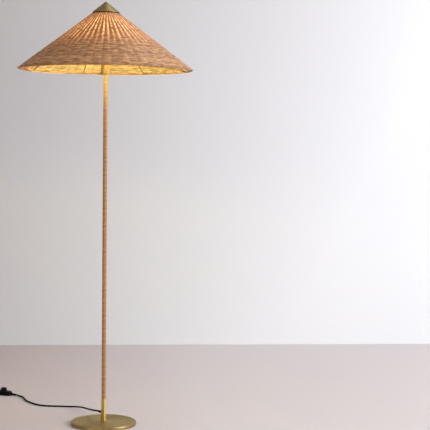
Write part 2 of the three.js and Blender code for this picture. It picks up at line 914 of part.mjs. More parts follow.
function ovalRing(sizeShare, inset, height) {
  const ring = [];
  for (let i = 0; i < switchSides; i++) {
    const turn = 2 * Math.PI * i / switchSides;
    const halfLength = switchLength / 2 * sizeShare - inset;
    const halfWidth = switchWidth / 2 * sizeShare - inset;
    const [x, y] = ovalPoint(halfLength, halfWidth, switchSquareness, turn);
    ring.push(new THREE.Vector3(x, y, height));
  }
  return ring;
}

function glandHoles() {
  const radius = glandNeckDiameter / 2 + seatGap;
  const bar = lying(disc(radius, switchLength + 2 * cutOverrun, smallSides));
  return bar.translate(-switchLength / 2 - cutOverrun, 0, glandHeight);
}

function upright(radius, bottom, top, x) {
  return disc(radius, top - bottom, smallSides).translate(x, 0, bottom);
}

function switchTray() {
  const rings = trayHeightShares.map((share, i) => ovalRing(traySizeShares[i], 0, switchParting * share));
  const cavity = loft([ovalRing(1, switchWall, switchWall), ovalRing(1, switchWall, switchParting + cutOverrun)]);
  const hollow = cut(loft(rings), cavity, glandHoles());
  const posts = [];
  const bores = [];
  for (const x of [-screwOffset, screwOffset]) {
    posts.push(upright(postDiameter / 2, switchWall / 2, switchParting, x));
    bores.push(upright(screwShankDiameter / 2 + boltClearance, -cutOverrun, switchParting + cutOverrun, x));
    bores.push(upright(screwHeadDiameter / 2 + boltClearance, -cutOverrun, screwHeadHeight + 2 * seatGap, x));
  }
  return piece('switch_tray', 'blackPlastic', cut(join(hollow, ...posts), ...bores));
}

function switchCover() {
  const rise = switchHeight - domeBottom;
  const rings = domeHeightShares.map((share, i) => ovalRing(domeSizeShares[i], 0, domeBottom + rise * share));
  const inner = domeHeightShares.map((share, i) => {
    const height = domeBottom + (rise - switchWall) * share;
    return ovalRing(domeSizeShares[i], switchWall, height);
  });
  inner.unshift(ovalRing(1, switchWall, domeBottom - cutOverrun));
  const opening = buttonDiameter / 2 + buttonClearance;
  const hollow = cut(loft(rings), loft(inner), glandHoles());
  const collar = upright(opening + collarWidth, switchHeight - switchWall / 2, switchHeight + collarRise, 0);
  const posts = [];
  const bores = [upright(opening, switchParting, buttonHeight, 0)];
  for (const x of [-screwOffset, screwOffset]) {
    posts.push(upright(postDiameter / 2, domeBottom, switchHeight - switchWall / 2, x));
    bores.push(upright(screwShankDiameter / 2 + boltClearance, switchParting - cutOverrun, screwLength + cutOverrun, x));
  }
  return piece('switch_cover', 'blackPlastic', cut(join(hollow, collar, ...posts), ...bores));
}

function switchButton() {
  const radius = buttonDiameter / 2;
  const top = buttonHeight - flangeBottom;
  const outline = [
    [0, buttonRecessDepth],
    [buttonRecessDiameter / 2, buttonRecessDepth],
    [buttonRecessDiameter / 2, 0],
    [radius + buttonFlangeWidth, 0],
    [radius + buttonFlangeWidth, buttonFlangeThickness],
    [radius, buttonFlangeThickness],
    ...corner(radius - buttonEdgeRadius, top - buttonEdgeRadius, buttonEdgeRadius, 0, 90),
    [0, top],
  ];
  return raised(piece('switch_button', 'blackPlastic', turned(outline, roundSides)), flangeBottom);
}

function switchBlock() {
  const box = new THREE.BoxGeometry(blockLength, blockWidth, blockHeight);
  return raised(piece('switch_block', 'phenolic', box), switchWall + seatGap + blockHeight / 2);
}

function switchSpring() {
  const bottom = switchWall + blockHeight + 2 * seatGap + springWire / 2;
  const top = flangeBottom + buttonRecessDepth - seatGap - springWire / 2;
  const steps = springCurls * springStepsPerCurl;
  const path = [];
  for (let i = 0; i <= steps; i++) {
    const turn = 2 * Math.PI * i / springStepsPerCurl;
    const reach = (springDiameter - springWire) / 2;
    const height = THREE.MathUtils.lerp(0, top - bottom, i / steps);
    path.push(new THREE.Vector3(reach * Math.cos(turn), reach * Math.sin(turn), height));
  }
  return raised(piece('switch_spring', 'steel', woundTube(path, springWire / 2, springSides)), bottom);
}

function switchScrew(name, x) {
  const outline = [
    [0, 0],
    [screwHeadDiameter / 2, 0],
    [screwHeadDiameter / 2, screwHeadHeight],
    [screwShankDiameter / 2, screwHeadHeight],
    [screwShankDiameter / 2, screwLength],
    [0, screwLength],
  ];
  const screw = raised(piece(name, 'steel', turned(outline, smallSides)), seatGap);
  screw.position.x = x;
  return screw;
}

function cordGland(name, side) {
  const face = switchLength / 2 + seatGap;
  const collarEnd = face + glandCollarThickness;
  const neck = glandNeckDiameter / 2;
  const outline = [
    [0, face - switchWall - glandNeckInside],
    [neck, face - switchWall - glandNeckInside],
    [neck, face],
    [glandCollarDiameter / 2, face],
    [glandCollarDiameter / 2, collarEnd],
    [glandRootDiameter / 2, collarEnd],
    [glandTipDiameter / 2, glandTip],
    [0, glandTip],
  ];
  const gland = raised(piece(name, 'rubber', lying(turned(outline, smallSides))), glandHeight);
  gland.rotation.z = side > 0 ? 0 : Math.PI;
  return gland;
}

// Cord: the way from the switch's ends, and the coil's path

function heading(degrees) {
  return new THREE.Vector3(Math.cos(radians(degrees)), Math.sin(radians(degrees)), 0);
}

function pastGland(side, distance) {
  return new THREE.Vector3(switchX, switchY, glandHeight)
    .addScaledVector(heading(switchTurnDegrees), side * (glandTip + distance));
}

function cordLead() {
  const points = [
    cordExit.clone().multiplyScalar(outletReach + seatGap).setZ(cordExitHeight),
    cordExit.clone().multiplyScalar(outletReach + cordDiameter).setZ(cordExitHeight),
    ...leadPoints.map((point) => new THREE.Vector3(...point)),
    pastGland(1, cordDiameter),
    pastGland(1, seatGap),
  ];
  return piece('cord_lead', 'rubber', cable(smoothCurve(points), cordDiameter / 2, cordSides, leadSteps));
}

const runDegrees = switchTurnDegrees + 180;
const coilStartDegrees = runDegrees - 90;
const coilEndDegrees = coilStartDegrees + 360 * coilTurns;
const coilStart = pastGland(-1, runLength).setZ(coilLift + cordDiameter / 2);
const coilCentre = coilStart.clone().addScaledVector(heading(coilStartDegrees), -coilOuter);

function coilPath() {
  const total = 2 * Math.PI * coilTurns;
  const steps = Math.round(coilTurns * coilStepsPerTurn);
  const path = [];
  for (let i = 0; i <= steps; i++) {
    const fromReversal = total * (i / steps - 1 / 2);
    const radius = coilInner + coilPitch * Math.abs(fromReversal) / (2 * Math.PI);
    const climb = THREE.MathUtils.smoothstep(fromReversal, -Math.PI / 2, Math.PI / 2);
    const turn = radians(coilStartDegrees) + total * i / steps;
    path.push(new THREE.Vector3(radius * Math.cos(turn), radius * Math.sin(turn), coilPitch * climb));
  }
  const into = heading(runDegrees).multiplyScalar(-cordDiameter);
  const outOf = heading(coilEndDegrees + 90).multiplyScalar(cordDiameter);
  path.unshift(path[0].clone().add(into));
  path.push(path[path.length - 1].clone().add(outOf));
  return path;
}

function leastGap(path, diameter, skip) {
  let least = Infinity;
  for (let i = 0; i < path.length; i++) {
    for (let j = i + skip; j < path.length; j++) {
      least = Math.min(least, path[i].distanceTo(path[j]) - diameter);
    }
  }
  return least;
}

function cordCoil() {
  const path = coilPath();
  console.log('coil: least gap to itself, mm', leastGap(path, cordDiameter, coilStepsPerTurn / 2).toFixed(2));
  const coil = piece('cord_coil', 'rubber', woundTube(path, cordDiameter / 2, coilSides));
  coil.position.copy(coilCentre);
  return coil;
}

function cordRun() {
  const end = coilStart.clone().addScaledVector(heading(runDegrees), -cordDiameter - seatGap);
  const points = [pastGland(-1, seatGap), pastGland(-1, cordDiameter), end.clone(), end];
  points[2].addScaledVector(heading(runDegrees), -cordDiameter);
  return piece('cord_run', 'rubber', cable(smoothCurve(points), cordDiameter / 2, cordSides, 4));
}

const tailStart = coilCentre.clone()
  .addScaledVector(heading(coilEndDegrees), coilOuter)
  .addScaledVector(heading(coilEndDegrees + 90), cordDiameter + seatGap)
  .setZ(coilCentre.z + coilPitch);
const plugPlace = tailStart.clone()
  .addScaledVector(heading(coilEndDegrees + 90), tailLength + bootLength + 2 * seatGap)
  .setZ(plugThickness / 2 + floorGap);

function cordTail() {
  const way = heading(coilEndDegrees + 90);
  const end = plugPlace.clone().addScaledVector(way, -bootLength - 2 * seatGap);
  const points = [
    tailStart,
    tailStart.clone().addScaledVector(way, cordDiameter),
    end.clone().addScaledVector(way, -cordDiameter),
    end,
  ];
  return piece('cord_tail', 'rubber', cable(smoothCurve(points), cordDiameter / 2, cordSides, 4));
}

function coilTie() {
  const inner = coilInner - cordDiameter / 2 - tieSlack;
  const outer = coilOuter + cordDiameter / 2 + tieSlack;
  const height = cordDiameter + coilPitch + 2 * seatGap;
  const outline = boxOutline(inner - tieThickness, outer + tieThickness, height + 2 * tieThickness, 0);
  const window = boxOutline(inner, outer, height, tieThickness);
  const band = new THREE.Shape(outline);
  band.holes.push(new THREE.Path(window));
  const geometry = new THREE.ExtrudeGeometry(band, { depth: tieWidth, bevelEnabled: false });
  geometry.rotateX(Math.PI / 2).translate(0, tieWidth / 2, 0);
  return along(coilCentre.x, coilCentre.y, 0, radians(tieDegrees), piece('coil_tie', 'blackFabric', geometry));
}

function boxOutline(left, right, height, lift) {
  const corners = [[left, lift], [right, lift], [right, lift + height], [left, lift + height]];
  return corners.map(([x, y]) => new THREE.Vector2(x, y));
}

// Plug, its length along X with the pins pointing along +X

function plugBody() {
  const rings = plugStationShares.map((share, i) => {
    const ring = [];
    for (let k = 0; k < plugSides; k++) {
      const turn = 2 * Math.PI * k / plugSides;
      const halfWidth = plugWidth / 2 * plugWidthShares[i];
      const halfThickness = plugThickness / 2 * plugThicknessShares[i];
      const [y, z] = ovalPoint(halfWidth, halfThickness, plugSquareness, turn);
      ring.push(new THREE.Vector3(plugLengthwise * share, y, z));
    }
    return ring;
  });
  return piece('plug_body', 'blackPlastic', loft(rings));
}

function plugBoot() {
  const outline = [
    [0, -bootLength - seatGap],
    [glandTipDiameter / 2, -bootLength - seatGap],
    [bootRootDiameter / 2, -seatGap],
    [0, -seatGap],
  ];
  return piece('plug_boot', 'rubber', lying(turned(outline, smallSides)));
}

function plugPin(name, y) {
  const radius = pinDiameter / 2;
  const outline = [
    [0, 0],
    [radius, 0],
    [radius, pinLength - radius],
    [radius * (1 - pinTipShare), pinLength],
    [0, pinLength],
  ];
  const pin = piece(name, 'nickel', lying(turned(outline, smallSides)));
  pin.position.set(plugLengthwise + seatGap, y, 0);
  return pin;
}

// The whole lamp

function build() {
  const lamp = new THREE.Group();
  lamp.add(basePad(), baseWeight(), baseCover(), baseStud(), baseNut(), baseWasher());
  lamp.add(stemTube(), stemBushing('lower_bushing', stemBottom));
  lamp.add(stemBushing('upper_bushing', stemHeight - seatGap - bushingLength));
  lamp.add(lowerSleeve(), stemWrap(), cordOutlet(), innerFlex());
  lamp.add(topNipple(), socketCup(), cupNut(), lampholderBody(), screwShell(), centreContact(), holderRingNut());
  lamp.add(bulbTip(), bulbCap(), bulbGlass());
  lamp.add(carrierPlate(), carrierBow(), carrierStud());
  lamp.add(frameHub(), ...frameWires(), frameRing(), shadeWeave(), shadeBorder());
  lamp.add(capCone(), capBoss());
  const footSwitch = [
    switchTray(), switchCover(), switchButton(), switchBlock(), switchSpring(),
    switchScrew('switch_screw_1', -screwOffset), switchScrew('switch_screw_2', screwOffset),
    cordGland('switch_gland_in', 1), cordGland('switch_gland_out', -1),
  ];
  lamp.add(along(switchX, switchY, 0, radians(switchTurnDegrees), ...footSwitch));
  lamp.add(cordLead(), cordRun(), cordCoil(), cordTail(), coilTie());
  const plug = [plugBody(), plugBoot(), plugPin('plug_pin_1', -pinSpacing / 2), plugPin('plug_pin_2', pinSpacing / 2)];
  lamp.add(along(plugPlace.x, plugPlace.y, plugPlace.z, radians(coilEndDegrees + 90), ...plug));
  return lamp;
}

export default build();
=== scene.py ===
import json
import math
import random

import bpy
import numpy as np
from bpy.props import BoolProperty, FloatProperty, FloatVectorProperty, IntProperty, PointerProperty
from bpy.types import Operator, Panel, PropertyGroup
from mathutils import Matrix, Vector

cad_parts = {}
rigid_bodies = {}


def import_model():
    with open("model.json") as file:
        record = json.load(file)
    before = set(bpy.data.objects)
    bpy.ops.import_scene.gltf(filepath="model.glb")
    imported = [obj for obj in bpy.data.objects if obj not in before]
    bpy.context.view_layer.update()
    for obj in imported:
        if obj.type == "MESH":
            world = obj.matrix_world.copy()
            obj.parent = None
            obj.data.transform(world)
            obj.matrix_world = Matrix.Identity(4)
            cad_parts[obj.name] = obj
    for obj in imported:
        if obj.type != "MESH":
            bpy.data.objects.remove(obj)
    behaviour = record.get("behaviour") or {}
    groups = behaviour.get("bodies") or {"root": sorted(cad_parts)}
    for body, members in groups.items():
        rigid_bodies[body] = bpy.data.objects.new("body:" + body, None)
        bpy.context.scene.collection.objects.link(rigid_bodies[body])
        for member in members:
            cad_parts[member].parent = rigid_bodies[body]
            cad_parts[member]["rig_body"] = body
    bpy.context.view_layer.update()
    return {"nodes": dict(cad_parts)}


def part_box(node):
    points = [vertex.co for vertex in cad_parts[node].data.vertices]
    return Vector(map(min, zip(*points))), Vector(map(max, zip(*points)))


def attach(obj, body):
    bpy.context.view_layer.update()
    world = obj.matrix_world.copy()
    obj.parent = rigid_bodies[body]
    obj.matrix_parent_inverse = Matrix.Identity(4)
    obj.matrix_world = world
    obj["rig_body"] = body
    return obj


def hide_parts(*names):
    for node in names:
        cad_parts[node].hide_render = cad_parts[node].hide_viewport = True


bl_info = {
    "name": "Rattan floor lamp",
    "version": (1, 0, 0),
    "blender": (4, 5, 0),
    "location": "3D View > Sidebar > Floor lamp",
    "description": "Builds the woven shade, cane stem, brass and lead of a rattan floor lamp",
    "category": "Object",
}

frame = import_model()


# Sizes read from the frame, in metres


def span(node):
    """Radius, foot and top of a round node."""
    low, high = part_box(node)
    return (high - low).x / 2, low.z, high.z


def bottom_of(node):
    return span(node)[1]


def top_of(node):
    return span(node)[2]


# Sizes and places that the frame's boxes don't give, in metres, as in the part's source

SHADE_PITCH = math.radians(37)
SLOPE_DOWN = Vector((math.cos(SHADE_PITCH), 0, -math.sin(SHADE_PITCH)))
SLOPE_OUT = Vector((math.sin(SHADE_PITCH), 0, math.cos(SHADE_PITCH)))
CAP_PITCH = math.radians(39.2)
CAP_WALL = 0.0012
CROWN_RADIUS = 0.0125
WEAVE_SETBACK = 0.0045
CORD_DIAMETER = 0.006
OUTLET_TURN = math.radians(125)
OUTLET_HEIGHT = 0.042
OUTLET_REACH = 0.030
OUTLET_HOLE = 0.0050
DRILL_LENGTH = 0.012
DRILL_MIDDLE = 0.0105
RELIEF_ROOT = 0.0047
RELIEF_TIP = 0.0039
SEAT_GAP = 0.0003
BORE_WALL_RADIUS = 0.0044
SLEEVE_WALL = 0.0012
CUP_FLOOR = 0.0012
CUP_WALL = 0.001
CUP_CORNER = 0.003
BASE_WALL = 0.0015
BASE_EDGE = 0.003
SWITCH_PLACE = Vector((-0.396, 0.549, 0))
SWITCH_TURN = math.radians(-36)
SWITCH_LENGTH = 0.078
SWITCH_WIDTH = 0.040
SWITCH_HEIGHT = 0.017
SWITCH_PARTING = 0.006
SWITCH_SQUARENESS = 2.6
BUTTON_RADIUS = 0.0112
BUTTON_TOP = 0.0285
WELL_RADIUS = 0.0116
WELL_DEPTH = 0.008
GLAND_HEIGHT = 0.00615
GLAND_LENGTH = 0.022
RUN_LENGTH = 0.056
TAIL_LENGTH = 0.044
COIL_LIFT = 0.0011
COIL_PITCH = 0.0066
COIL_TURNS = 6
COIL_RADIUS = 0.035
COIL_OUTER = COIL_RADIUS + 1.5 * COIL_PITCH
COIL_INNER = COIL_RADIUS - 1.5 * COIL_PITCH
COIL_STEPS = 24
PLUG_LENGTH = 0.038
PLUG_WIDTH = 0.035
PLUG_THICKNESS = 0.014
BOOT_LENGTH = 0.024
FLOOR_GAP = 0.0001
BOW_WIRE = 0.003
BOW_LUG = 0.023
BOW_HALF_WIDTH = 0.040
BOW_SHARES = ((0.66, 0.065), (0.9, 0.16), (1, 0.3), (0.9, 0.53), (0.6, 0.79), (0.35, 0.93), (0.18, 0.985))
FRAME_WIRE = 0.003
FRAME_WIRES = 8
FRAME_FIRST_TURN = math.radians(16.5)
HUB_WIRE_START = 0.016
STEM_BORE = 0.00575
FLEX_RADIUS = 0.0022
SPRING_WIRE = 0.0009
SPRING_REACH = 0.00355
SPRING_CURLS = 5
PIN_RADIUS = 0.002
PIN_LENGTH = 0.019
PIN_SPACING = 0.019
TIE_SLACK = 0.0004
TIE_THICKNESS = 0.0008
TIE_WIDTH = 0.012
TIE_TURN = math.radians(150)
LEAD_POINTS = [
    (-0.034, 0.050, 0.0396), (-0.044, 0.080, 0.0355), (-0.054, 0.115, 0.0305), (-0.0655, 0.161, 0.024),
    (-0.077, 0.205, 0.018), (-0.092, 0.247, 0.0115), (-0.107, 0.271, 0.0075), (-0.124, 0.286, 0.005),
    (-0.146, 0.296, 0.0036), (-0.170, 0.302, 0.0033), (-0.200, 0.307, 0.0032), (-0.227, 0.316, 0.0032),
    (-0.253, 0.336, 0.0032), (-0.277, 0.370, 0.0032), (-0.297, 0.410, 0.0032), (-0.307, 0.445, 0.0032),
    (-0.3125, 0.470, 0.0032), (-0.318, 0.487, 0.0032), (-0.3245, 0.498, 0.0033), (-0.334, 0.5045, 0.004),
]


def length_property(name, description, default):
    return FloatProperty(name=name, description=description, default=default, unit="LENGTH")


def colour_property(name, description, default):
    return FloatVectorProperty(name=name, description=description, subtype="COLOR", size=3, default=default)


class FloorLampSizes(PropertyGroup):
    stakes: IntProperty(
        name="Stakes", description="Upright stakes round the shade, an even number", default=56, min=24, max=96
    )
    weavers: IntProperty(
        name="Weavers", description="Rows of reed woven round the stakes", default=168, min=40, max=180
    )
    weaver_width: length_property("Weaver width", "Width of a woven reed down the slope", 0.0037)
    weaver_thickness: length_property("Weaver thickness", "Thickness of a woven reed", 0.0026)
    stake_radius: length_property("Stake radius", "Half the thickness of an upright stake", 0.0010)
    rim_sway: length_property("Sway at the rim", "How far a weaver bows round a stake at the rim", 0.0017)
    crown_sway: length_property("Sway at the crown", "How far a weaver bows round a stake under the cap", 0.0010)
    cane_pitch: length_property("Cane pitch", "Rise of the stem's winding in one turn", 0.0062)


class FloorLampFinishes(PropertyGroup):
    reed_light: colour_property("Light reed", "Lightest colour of the reeds", (0.68, 0.362, 0.165))
    reed_dark: colour_property("Dark reed", "Darkest colour of the reeds", (0.225, 0.082, 0.027))
    cane_light: colour_property("Light cane", "Lightest colour of the stem's cane", (0.58, 0.298, 0.122))
    cane_dark: colour_property("Dark cane", "Darkest colour of the stem's cane", (0.25, 0.115, 0.042))
    polished_brass: colour_property("Polished brass", "Colour of cup, sleeve and nut", (0.74, 0.53, 0.18))
    satin_brass: colour_property("Satin brass", "Colour of base and cap", (0.425, 0.32, 0.142))
    lamp_lit: BoolProperty(name="Lit", description="The bulb gives light", default=True)
    bulb_strength: FloatProperty(
        name="Bulb strength", description="Brightness of the bulb's glass when lit", default=245.0, min=0
    )
    glow_strength: FloatProperty(
        name="Glow strength", description="Light that comes through the weave when lit", default=3.2, min=0
    )


# Work with Blender's own tools


def clear_selection():
    if bpy.context.mode != "OBJECT":
        bpy.ops.object.mode_set(mode="OBJECT")
    bpy.ops.object.select_all(action="DESELECT")


def pick(*objects):
    clear_selection()
    for thing in objects:
        thing.select_set(True)
    bpy.context.view_layer.objects.active = objects[0]


def named(name):
    thing = bpy.context.object
    thing.name = name
    thing.data.name = name
    return thing


def linked(name, data):
    thing = bpy.data.objects.new(name, data)
    bpy.context.scene.collection.objects.link(thing)
    return thing


def apply_place(thing):
    pick(thing)
    bpy.ops.object.transform_apply(location=True, rotation=True, scale=True)
    return thing


def placed(piece, place, turn=0.0, tilt=0.0):
    """Tilts a piece, turns it, moves it to its place and applies all three."""
    piece.rotation_euler = (0, tilt, turn)
    piece.location = place
    return apply_place(piece)


def open_up(piece):
    """The piece in edit mode, all of it selected."""
    pick(piece)
    bpy.ops.object.mode_set(mode="EDIT")
    bpy.ops.mesh.select_all(action="SELECT")


def smooth(piece, angle):
    pick(piece)
    bpy.ops.object.shade_smooth_by_angle(angle=math.radians(angle))


def finish_mesh(piece, angle=35):
    open_up(piece)
    bpy.ops.mesh.remove_doubles(threshold=1e-6)
    bpy.ops.mesh.normals_make_consistent(inside=False)
    smooth(piece, angle)
    return piece


def modified(piece, kind, **settings):
    """A modifier is set and applied."""
    modifier = piece.modifiers.new(kind.lower(), kind)
    for key, value in settings.items():
        setattr(modifier, key, value)
    pick(piece)
    bpy.ops.object.modifier_apply(modifier=modifier.name)


def cut_with(piece, tool, angle):
    """The tool's form is cut out of the piece, and the tool goes."""
    modified(piece, "BOOLEAN", object=tool, operation="DIFFERENCE", solver="EXACT")
    bpy.data.objects.remove(tool)
    smooth(piece, angle)


def cylinder(name, radius, depth, place, vertices, rotation=(0, 0, 0)):
    clear_selection()
    bpy.ops.mesh.primitive_cylinder_add(
        vertices=vertices, radius=radius, depth=depth, location=place, rotation=rotation
    )
    return named(name)


def outline_mesh(name, points, filled="NOTHING"):
    clear_selection()
    bpy.ops.mesh.primitive_circle_add(vertices=len(points), radius=1, fill_type=filled)
    piece = named(name)
    for vertex, point in zip(piece.data.vertices, points):
        vertex.co = point
    return piece


def turned(name, outline, steps=96, angle=35):
    """A closed outline of (radius, height) spun round the upright axis."""
    piece = outline_mesh(name, [(radius, 0, height) for radius, height in outline])
    open_up(piece)
    bpy.ops.mesh.spin(steps=steps, angle=math.tau, center=(0, 0, 0), axis=(0, 0, 1))
    return finish_mesh(piece, angle)


def arc(x, z, radius, start, end, steps=6):
    """Points of a rounded corner, in degrees."""
    turns = [math.radians(start + (end - start) * i / steps) for i in range(steps + 1)]
    return [(x + radius * math.cos(t), z + radius * math.sin(t)) for t in turns]


def drawn_up(name, rings, angle=35, filled="NGON"):
    """A closed form: the first outline, filled or open, is extruded to each next one."""
    piece = outline_mesh(name, rings[0], filled)
    for below, ring in zip(rings, rings[1:]):
        bpy.ops.object.mode_set(mode="EDIT")
        bpy.ops.mesh.extrude_region_move()
        bpy.ops.object.mode_set(mode="OBJECT")
        place = {tuple(Vector(point)): i for i, point in enumerate(below)}
        for vertex in piece.data.vertices:
            if vertex.select:
                vertex.co = ring[place[tuple(vertex.co)]]
    return finish_mesh(piece, angle)


def oval(half_a, half_b, power, count):
    """Points of an oval that is squarer as the power grows."""
    points = []
    for i in range(count):
        c, s = math.cos(math.tau * i / count), math.sin(math.tau * i / count)
        a = math.copysign(abs(c) ** (2 / power), c)
        b = math.copysign(abs(s) ** (2 / power), s)
        points.append((half_a * a, half_b * b))
    return points


def torus(name, radius, thick, around, across):
    clear_selection()
    bpy.ops.mesh.primitive_torus_add(
        major_segments=around, minor_segments=across, major_radius=radius, minor_radius=thick, generate_uvs=True
    )
    return named(name)


def places_of(piece):
    """The vertices as rows of x, y, z, and how far round the upright axis each one is."""
    places = np.empty(len(piece.data.vertices) * 3)
    piece.data.vertices.foreach_get("co", places)
    places = places.reshape(-1, 3)
    return places, np.arctan2(places[:, 1], places[:, 0])


def move_out_and_up(piece, places, turn, out, up):
    places += np.stack((out * np.cos(turn), out * np.sin(turn), up), axis=1)
    piece.data.vertices.foreach_set("co", places.ravel())


def give_tone(piece, tones):
    """One tone for the whole piece, or one for each vertex: 0 is the darkest, 1 the lightest."""
    attribute = piece.data.attributes.new("tone", "FLOAT", "POINT")
    attribute.data.foreach_set("value", np.full(len(piece.data.vertices), tones, np.float32))


def give(thing, material):
    thing.data.materials.clear()
    thing.data.materials.append(material)
    return thing


def coat(material, *nodes):
    """The nodes stay as they are in the frame and take a material."""
    for node in nodes:
        give(frame["nodes"][node], finish_named(material))


def dressed(piece, material, slot, body, *nodes):
    """The piece takes its material, rides on its body and stands for the nodes."""
    give(piece, finish_named(material))
    if nodes:
        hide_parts(*nodes)
    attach(piece, body)
    return piece


def softened(node, name, material, slot, edge=0.0003, angle=35):
    """A merged copy of a node, its sharp edges rounded off."""
    piece = finish_mesh(linked(name, frame["nodes"][node].data.copy()), angle)
    modified(piece, "BEVEL", width=edge, segments=2, angle_limit=math.radians(angle))
    smooth(piece, angle)
    return dressed(piece, material, slot, frame["nodes"][node]["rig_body"], node)


# Node groups

WHITE, BLACK = (1, 1, 1, 1), (0, 0, 0, 1)
# where the outward side of a ring's reed lies in its UV map
OUTWARD_V = 0.648
# heights on the shade between which the cap's shadow sets in
CAP_SHADOW = (1.4560, 1.4575)


def new_group(name, inputs, *values_out):
    """An empty group that gives a colour and the values named, with its own inputs and outputs."""
    group = bpy.data.node_groups.new(name, "ShaderNodeTree")
    for label, value in inputs.items():
        kind = "NodeSocketColor" if isinstance(value, tuple) else "NodeSocketFloat"
        group.interface.new_socket(name=label, in_out="INPUT", socket_type=kind).default_value = value
    group.interface.new_socket(name="Color", in_out="OUTPUT", socket_type="NodeSocketColor")
    for label in values_out:
        group.interface.new_socket(name=label, in_out="OUTPUT", socket_type="NodeSocketFloat")
    given = group.nodes.new("NodeGroupInput").outputs
    return group, given, group.nodes.new("NodeGroupOutput").inputs


def add_node(tree, kind, values=None, **settings):
    node = tree.nodes.new(kind)
    for key, value in settings.items():
        setattr(node, key, value)
    for key, value in (values or {}).items():
        if isinstance(value, bpy.types.NodeSocket):
            tree.links.new(value, node.inputs[key])
        else:
            node.inputs[key].default_value = value
    return node


def maths(tree, operation, a, b=0.0):
    return add_node(tree, "ShaderNodeMath", {0: a, 1: b}, operation=operation).outputs[0]


def times(tree, a, b):
    return maths(tree, "MULTIPLY", a, b)


def plus(tree, a, b):
    return maths(tree, "ADD", a, b)


def mixed(tree, share, a, b, blend="MIX"):
    node = add_node(tree, "ShaderNodeMix", {0: share, 6: a, 7: b}, data_type="RGBA", blend_type=blend)
    return node.outputs[2]


def ranged(tree, value, low, high, to_low=0.0, to_high=1.0):
    node = add_node(
        tree, "ShaderNodeMapRange",
        {"Value": value, "From Min": low, "From Max": high, "To Min": to_low, "To Max": to_high},
    )
    return node.outputs[0]


def noise(tree, vector, scale=1.0, detail=3.0, roughness=0.55):
    node = add_node(
        tree, "ShaderNodeTexNoise", {"Vector": vector, "Scale": scale, "Detail": detail, "Roughness": roughness}
    )
    return node.outputs[0]


def apart(tree, vector):
    return add_node(tree, "ShaderNodeSeparateXYZ", {0: vector}).outputs


def together(tree, *values):
    return add_node(tree, "ShaderNodeCombineXYZ", dict(enumerate(values))).outputs[0]


def object_place(tree):
    return add_node(tree, "ShaderNodeTexCoord").outputs["Object"]


def uv_parts(tree):
    return apart(tree, add_node(tree, "ShaderNodeUVMap").outputs[0])


def round_place(tree):
    """How far round the upright axis a point is, and its height."""
    parts = apart(tree, object_place(tree))
    return maths(tree, "ARCTAN2", parts[1], parts[0]), parts[2]


def outward_turn(tree, v):
    """How far round its own reed a point is from the side that faces outwards."""
    return times(tree, maths(tree, "SUBTRACT", v, OUTWARD_V), math.tau)


def reed_group(stakes):
    """Split reed: fibres along its length, tone by strand; painted shade over the stakes and painted shadow under the
    cap.
    """
    group, given, out = new_group(
        "reed_fibre", {"Light": WHITE, "Dark": BLACK, "Along": 40.0, "Across": 7.0}, "Roughness", "Height"
    )
    tone = add_node(group, "ShaderNodeAttribute", attribute_name="tone").outputs["Fac"]
    u, v, _ = uv_parts(group)
    strand = together(
        group, times(group, u, given["Along"]), times(group, v, given["Across"]), times(group, tone, 37.0)
    )
    fibres = noise(group, strand, 1.0, 4.0, 0.65)
    turn, height = round_place(group)
    patches = noise(group, together(group, times(group, turn, 8.0), times(group, height, 150.0)), 1.0, 3.0, 0.6)
    share = plus(group, times(group, fibres, 0.45), times(group, tone, 0.35))
    share = plus(group, share, times(group, patches, 1.05))
    reed = mixed(group, ranged(group, share, 0.70, 1.14), given["Dark"], given["Light"])
    # painted shade: near the crown the reeds are darkened over each stake, for the stake's shadow in the light coming
    # through the weave
    stake_shade = ranged(group, maths(group, "COSINE", times(group, turn, float(stakes))), -0.1, 0.9, 0.32)
    stake_shade = times(group, stake_shade, ranged(group, height, 1.33, 1.40))
    reed = mixed(group, times(group, stake_shade, 0.88), reed, given["Dark"])
    # painted shadow: a near-black band with a scalloped edge on the upward faces just under the cap's rim
    scallops = times(group, maths(group, "COSINE", times(group, turn, stakes / 2.0)), 0.0007)
    painted_cap_shadow = ranged(group, plus(group, height, scallops), *CAP_SHADOW)
    facing = apart(group, add_node(group, "ShaderNodeNewGeometry").outputs["Normal"])[2]
    painted_cap_shadow = times(group, painted_cap_shadow, ranged(group, facing, -0.2, 0.1))
    group.links.new(mixed(group, painted_cap_shadow, reed, (0.030, 0.014, 0.006, 1)), out["Color"])
    group.links.new(ranged(group, fibres, 0.3, 0.7, 0.62, 0.42), out["Roughness"])
    group.links.new(fibres, out["Height"])
    return group


def patina_group():
    """Lacquered metal: soft clouds of tarnish and faint handling marks."""
    group, given, out = new_group(
        "patina", {"Metal": WHITE, "Tarnish": BLACK, "Clouds": 12.0, "Smooth": 0.2, "Dull": 0.3},
        "Roughness", "Height",
    )
    place = object_place(group)
    share = ranged(group, noise(group, place, given["Clouds"], 4.0, 0.6), 0.42, 0.75)
    stretched = add_node(group, "ShaderNodeMapping", {"Vector": place, "Scale": (1, 1, 0.15)}).outputs[0]
    marks = noise(group, stretched, 420.0, 2.0)
    group.links.new(mixed(group, share, given["Metal"], given["Tarnish"]), out["Color"])
    dull = plus(group, times(group, share, 0.7), times(group, marks, 0.3))
    group.links.new(ranged(group, dull, 0.0, 1.0, given["Smooth"], given["Dull"]), out["Roughness"])
    group.links.new(marks, out["Height"])
    return group


def moulded_group():
    """Moulded plastic or rubber: fine skin, faint dust and rubbed places."""
    group, given, out = new_group(
        "moulded_skin", {"Base": WHITE, "Rubbed": BLACK, "Grain": 2500.0, "Smooth": 0.3, "Dull": 0.5},
        "Roughness", "Height",
    )
    place = object_place(group)
    rubbed = noise(group, place, 55.0, 4.0)
    group.links.new(mixed(group, ranged(group, rubbed, 0.45, 0.8), given["Base"], given["Rubbed"]), out["Color"])
    group.links.new(ranged(group, rubbed, 0.3, 0.7, given["Smooth"], given["Dull"]), out["Roughness"])
    group.links.new(noise(group, place, given["Grain"], 2.0), out["Height"])
    return group


